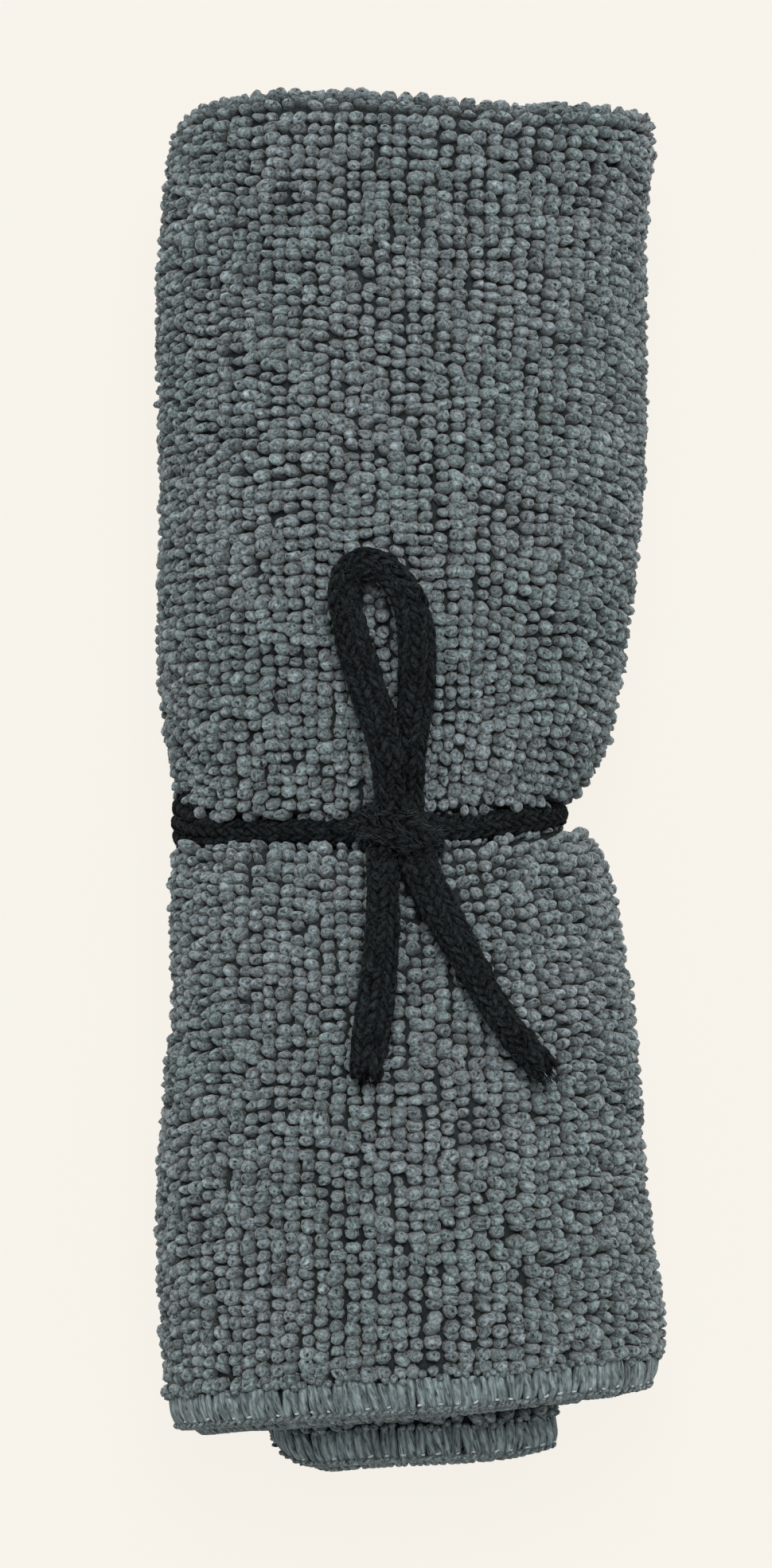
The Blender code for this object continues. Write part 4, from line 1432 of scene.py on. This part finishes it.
def fray(strand, rng, looks, name):
    """The loose yarn ends at a cut end of the cord."""
    each = (FRAY_COUNT, 1)
    way = unit(strand.line[-1] - strand.line[-4])
    turn = rng.uniform(0, math.tau, size=each)
    out = np.sqrt(rng.uniform(0, 1, size=each))
    side = strand.side[-1] * np.cos(turn) * out
    up = strand.up[-1] * np.sin(turn) * out
    root = strand.line[-1] - way * rng.uniform(*FRAY_SUNK, size=each)
    root = root + (side * strand.half_width[-1] + up * strand.half_height[-1]) * FRAY_WITHIN
    spread = way + side * FRAY_OPENS[0] + up * FRAY_OPENS[1]
    spread = spread + rng.normal(0, FRAY_ASKEW, size=(FRAY_COUNT, 3))
    run = unit(spread) * rng.uniform(*FRAY_LENGTH, size=each)
    curl = rng.normal(0, FRAY_CURL, size=(FRAY_COUNT, 3))
    axes = (strand.side[-1], strand.up[-1])
    points, faces, flat = hairs(root, run, curl, axes, FRAY_RADIUS * FRAY_TAPER, 4)
    grain = np.stack((flat[:, 0], flat[:, 1] * 3, 0 * flat[:, 0]), axis=-1)
    shape = Shape(points, faces[:, ::-1], flat, np.full(len(flat), FRAY_TONE))
    group = (points, np.broadcast_to(grain, points.shape), shape)
    return new_crowd(name, [group], "cord_yarn", looks, rng)


def build_cord_piece(name, strand, looks, rng, shape):
    """One stretch of the tie: its core, and its plaits and loose fibres."""
    core = strand_core(name + "_core", strand, looks, CORE_INSET)
    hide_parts("tie_" + name)
    braid = new_crowd(name + "_braid", plaits(strand, looks, rng, shape), "cord_yarn", looks, rng)
    per_mm = BAND_FUZZ_PER_MM if name == "band" else FUZZ_PER_MM
    return core, [braid, fuzz(strand, rng, looks, name + "_fuzz", per_mm)]


def declare(strand):
    """Reads the points along a strand's core rings in metres, and keeps nothing of them."""
    rings = core_rings(strand)[0]
    (strand.read(strand.line, rings) * MM).tolist()


def build_tie(looks):
    """The cord round the waist, its bow and its two free ends."""
    rng = np.random.default_rng(SEED + 2)
    tree = BVHTree.FromObject(bpy.data.objects["cloth_roll"], bpy.context.evaluated_depsgraph_get())
    shape = bud_shape(rng, "plait")
    build_cord_piece("band", lie_strand(*band_route(), BAND_LIE), looks, rng, shape)
    for part in rows_of(FREE_CORDS):
        points = lay_route(tree, part["route"], part["step"], part["both_at_knot"])
        strand = lie_strand(points, cloth_ups(tree, points), part["lie"])
        core, others = build_cord_piece(part["name"], strand, looks, rng, shape)
        if part["far_end"] == "bare":
            others.append(fray(strand, rng, looks, part["name"].replace("end", "fray")))
        declare(strand)


def build_knot(looks):
    """The knot: two strands that run through it, a low wrap and the wrap that lies over them all."""
    rng = np.random.default_rng(SEED + 3)
    shape = bud_shape(rng, "plait")
    strands = [knot_strand(table, True) for table in (KNOT_WRAP, KNOT_LOW_WRAP)]
    strands += [knot_strand(table, False) for table in (KNOT_LEFT_STRAND, KNOT_RIGHT_STRAND)]
    groups = [group for strand in strands for group in plaits(strand, looks, rng, shape)]
    pieces = [new_crowd("knot_braid", groups, "cord_yarn", looks, rng)]
    for k, strand in enumerate(strands, 1):
        pieces.append(strand_core(f"knot_core_{k}", strand, looks, KNOT_CORE_INSET))
    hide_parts("tie_knot")
    for k, strand in enumerate(strands, 1):
        per_mm, grow = (KNOT_FUZZ_PER_MM, KNOT_FUZZ_GROW) if k == 1 else (FUZZ_PER_MM, 1.0)
        pieces.append(fuzz(strand, rng, looks, f"knot_fuzz_{k}", per_mm, grow))
    return pieces


def put(name, data, place, aim=None):
    """A new object in its place, turned to its aim if it has one."""
    thing = bpy.data.objects.new(name, data)
    thing.location = place
    if aim is not None:
        thing.rotation_euler = (Vector(aim) - Vector(place)).to_track_quat("-Z", "Y").to_euler()
    bpy.context.scene.collection.objects.link(thing)
    return thing


def build_stage(looks):
    """The floor, the soft light and the camera over the roll."""
    scene = bpy.context.scene
    paper = bpy.data.materials.new("floor_paper")
    paper.use_nodes = True
    finish = {
        "Base Color": shaded(looks.floor_colour, FLOOR_SHADED),
        "Emission Color": (*looks.floor_colour, 1.0),
        "Emission Strength": looks.floor_glow,
        "Roughness": 1.0,
        "Specular IOR Level": 0.0,
    }
    set_inputs(paper.node_tree, paper.node_tree.nodes["Principled BSDF"], finish)
    corners = [(x * FLOOR_HALF, y * FLOOR_HALF, 0) for x, y in ((-1, -1), (1, -1), (1, 1), (-1, 1))]
    floor_mesh = bpy.data.meshes.new("floor")
    floor_mesh.from_pydata(corners, [], [(0, 1, 2, 3)])
    floor_mesh.materials.append(paper)
    put("floor", floor_mesh, (0, 0, 0))
    world = bpy.data.worlds.new("studio")
    world.use_nodes = True
    sky = {"Color": SKY_COLOUR, "Strength": looks.sky_strength}
    set_inputs(world.node_tree, world.node_tree.nodes["Background"], sky)
    scene.world = world
    scene.view_settings.view_transform = "Standard"
    key = bpy.data.lights.new("key", "AREA")
    key.size = KEY_SIZE
    key.energy = looks.key_power
    key.color = KEY_COLOUR
    put("key", key, KEY_PLACE, KEY_AIM)
    camera = bpy.data.cameras.new("camera")
    camera.sensor_width = SENSOR
    camera.lens = SENSOR / (2 * math.tan(looks.view_angle / 2))
    scene.camera = put("camera", camera, looks.camera_place, looks.camera_aim)


def length_setting(name, description, default):
    """A length that a user can change."""
    return bpy.props.FloatProperty(
        name=name, description=description, default=default, subtype="DISTANCE", unit="LENGTH"
    )


def colour_setting(name, description, default):
    """A colour that a user can change."""
    return bpy.props.FloatVectorProperty(
        name=name, description=description, default=default, subtype="COLOR", min=0.0, max=1.0
    )


def point_setting(name, description, default):
    """A place that a user can change."""
    return bpy.props.FloatVectorProperty(
        name=name, description=description, default=default, subtype="TRANSLATION", unit="LENGTH"
    )


class RolledClothLooks(bpy.types.PropertyGroup):
    """Sizes and colours of the cloth."""

    nub_across: length_setting("Curl Spacing Round", "Spacing of the pile's curls round the roll", 0.0023)
    nub_along: length_setting("Curl Spacing Along", "Spacing of the pile's curls along the roll", 0.00177)
    nub_height: length_setting("Pile Height", "Height of a curl over the cloth's ground", 0.0019)
    hem_depth: length_setting("Hem Depth", "Depth of the overlocked edge", 0.0050)
    stitch_pitch: length_setting("Stitch Spacing", "Spacing of the overlock's wraps", 0.0013)
    pile_colour: colour_setting("Pile Colour", "Colour of the microfibre pile", (0.139, 0.176, 0.187))
    thread_colour: colour_setting(
        "Overlock Colour", "Colour of the fluffy overlock yarn", (0.143, 0.180, 0.190)
    )
    needle_colour: colour_setting(
        "Needle Thread Colour", "Colour of the thin thread that holds the overlock", (0.42, 0.47, 0.475)
    )


class RolledClothCord(bpy.types.PropertyGroup):
    """Sizes and colour of the braided cord."""

    plait_pitch: length_setting("Plait Spacing", "Spacing of the plaits along the cord", 0.0017)
    plait_columns: bpy.props.IntProperty(
        name="Plait Columns",
        description="Columns of plaits round the cord, an even number",
        default=10,
        min=4,
        max=16,
    )
    cord_colour: colour_setting("Cord Colour", "Colour of the cord's cotton yarn", (0.0116, 0.0150, 0.0164))


class RolledClothStudio(bpy.types.PropertyGroup):
    """The floor, the light and the view."""

    floor_colour: colour_setting("Floor Colour", "Colour of the pale floor", (0.930, 0.896, 0.831))
    floor_glow: bpy.props.FloatProperty(
        name="Floor Glow", description="Strength of the evenly lit floor's own light", default=0.952, min=0.0
    )
    sky_strength: bpy.props.FloatProperty(
        name="Sky Strength", description="Strength of the even light from all round", default=0.62, min=0.0
    )
    key_power: bpy.props.FloatProperty(
        name="Key Power",
        description="Power of the soft light",
        default=17.0,
        subtype="POWER",
        unit="POWER",
        min=0.0,
    )
    view_angle: bpy.props.FloatProperty(
        name="View Angle",
        description="The camera's angle of view over the long side of the picture",
        default=math.radians(20.93),
        subtype="ANGLE",
        unit="ROTATION",
    )
    camera_place: point_setting("Camera Place", "Where the camera stands", (-0.0033, -0.062, 0.670))
    camera_aim: point_setting("Camera Aim", "The point that the camera looks at", (-0.0033, 0.0, 0.023))


class ROLLEDCLOTH_OT_stage(bpy.types.Operator):
    """Make the floor, the light and the camera"""

    bl_idname = "rolled_cloth.stage"
    bl_label = "Stage"

    def execute(self, context):
        build_stage(context.scene.rolled_cloth_studio)
        return {"FINISHED"}


class ROLLEDCLOTH_OT_tie(bpy.types.Operator):
    """Make the cord round the waist, its bow and its free ends"""

    bl_idname = "rolled_cloth.tie"
    bl_label = "Tie"

    def execute(self, context):
        build_tie(context.scene.rolled_cloth_cord)
        return {"FINISHED"}


class ROLLEDCLOTH_OT_knot(bpy.types.Operator):
    """Make the knot of the tie"""

    bl_idname = "rolled_cloth.knot"
    bl_label = "Knot"

    def execute(self, context):
        for piece in build_knot(context.scene.rolled_cloth_cord):
            piece["part_of"] = "knot"
        return {"FINISHED"}


class ROLLEDCLOTH_OT_cloth(bpy.types.Operator):
    """Make the wound cloth, its pile and its overlocked edges"""

    bl_idname = "rolled_cloth.cloth"
    bl_label = "Cloth"

    def execute(self, context):
        looks = context.scene.rolled_cloth_looks
        ground = build_ground(looks)
        others = build_pile(looks) + build_overlock(looks)
        return {"FINISHED"}


class ROLLEDCLOTH_PT_panel(bpy.types.Panel):
    """Lists the sizes and colours of the rolled cloth, and the operators that make its pieces"""

    bl_idname = "ROLLEDCLOTH_PT_panel"
    bl_label = "Rolled Cloth"
    bl_space_type = "VIEW_3D"
    bl_region_type = "UI"
    bl_category = "Rolled Cloth"

    def draw(self, context):
        for group in SETTINGS:
            box = self.layout.box()
            settings = getattr(context.scene, group)
            for name in settings.__annotations__:
                box.prop(settings, name)
        for operator in OPERATORS:
            self.layout.operator(operator.bl_idname)


SETTINGS = {
    "rolled_cloth_looks": RolledClothLooks,
    "rolled_cloth_cord": RolledClothCord,
    "rolled_cloth_studio": RolledClothStudio,
}
OPERATORS = (ROLLEDCLOTH_OT_stage, ROLLEDCLOTH_OT_tie, ROLLEDCLOTH_OT_knot, ROLLEDCLOTH_OT_cloth)


def register():
    """Adds the settings, operators and panel."""
    for name, settings in SETTINGS.items():
        bpy.utils.register_class(settings)
        setattr(bpy.types.Scene, name, bpy.props.PointerProperty(type=settings))
    for operator in OPERATORS:
        bpy.utils.register_class(operator)
    bpy.utils.register_class(ROLLEDCLOTH_PT_panel)


def unregister():
    """Takes the settings, operators and panel away."""
    bpy.utils.unregister_class(ROLLEDCLOTH_PT_panel)
    for operator in reversed(OPERATORS):
        bpy.utils.unregister_class(operator)
    for name, settings in reversed(SETTINGS.items()):
        delattr(bpy.types.Scene, name)
        bpy.utils.unregister_class(settings)


def main():
    """Builds every piece in order."""
    register()
    bpy.ops.rolled_cloth.stage()
    bpy.ops.rolled_cloth.tie()
    bpy.ops.rolled_cloth.knot()
    bpy.ops.rolled_cloth.cloth()


if __name__ == "__main__":
    main()
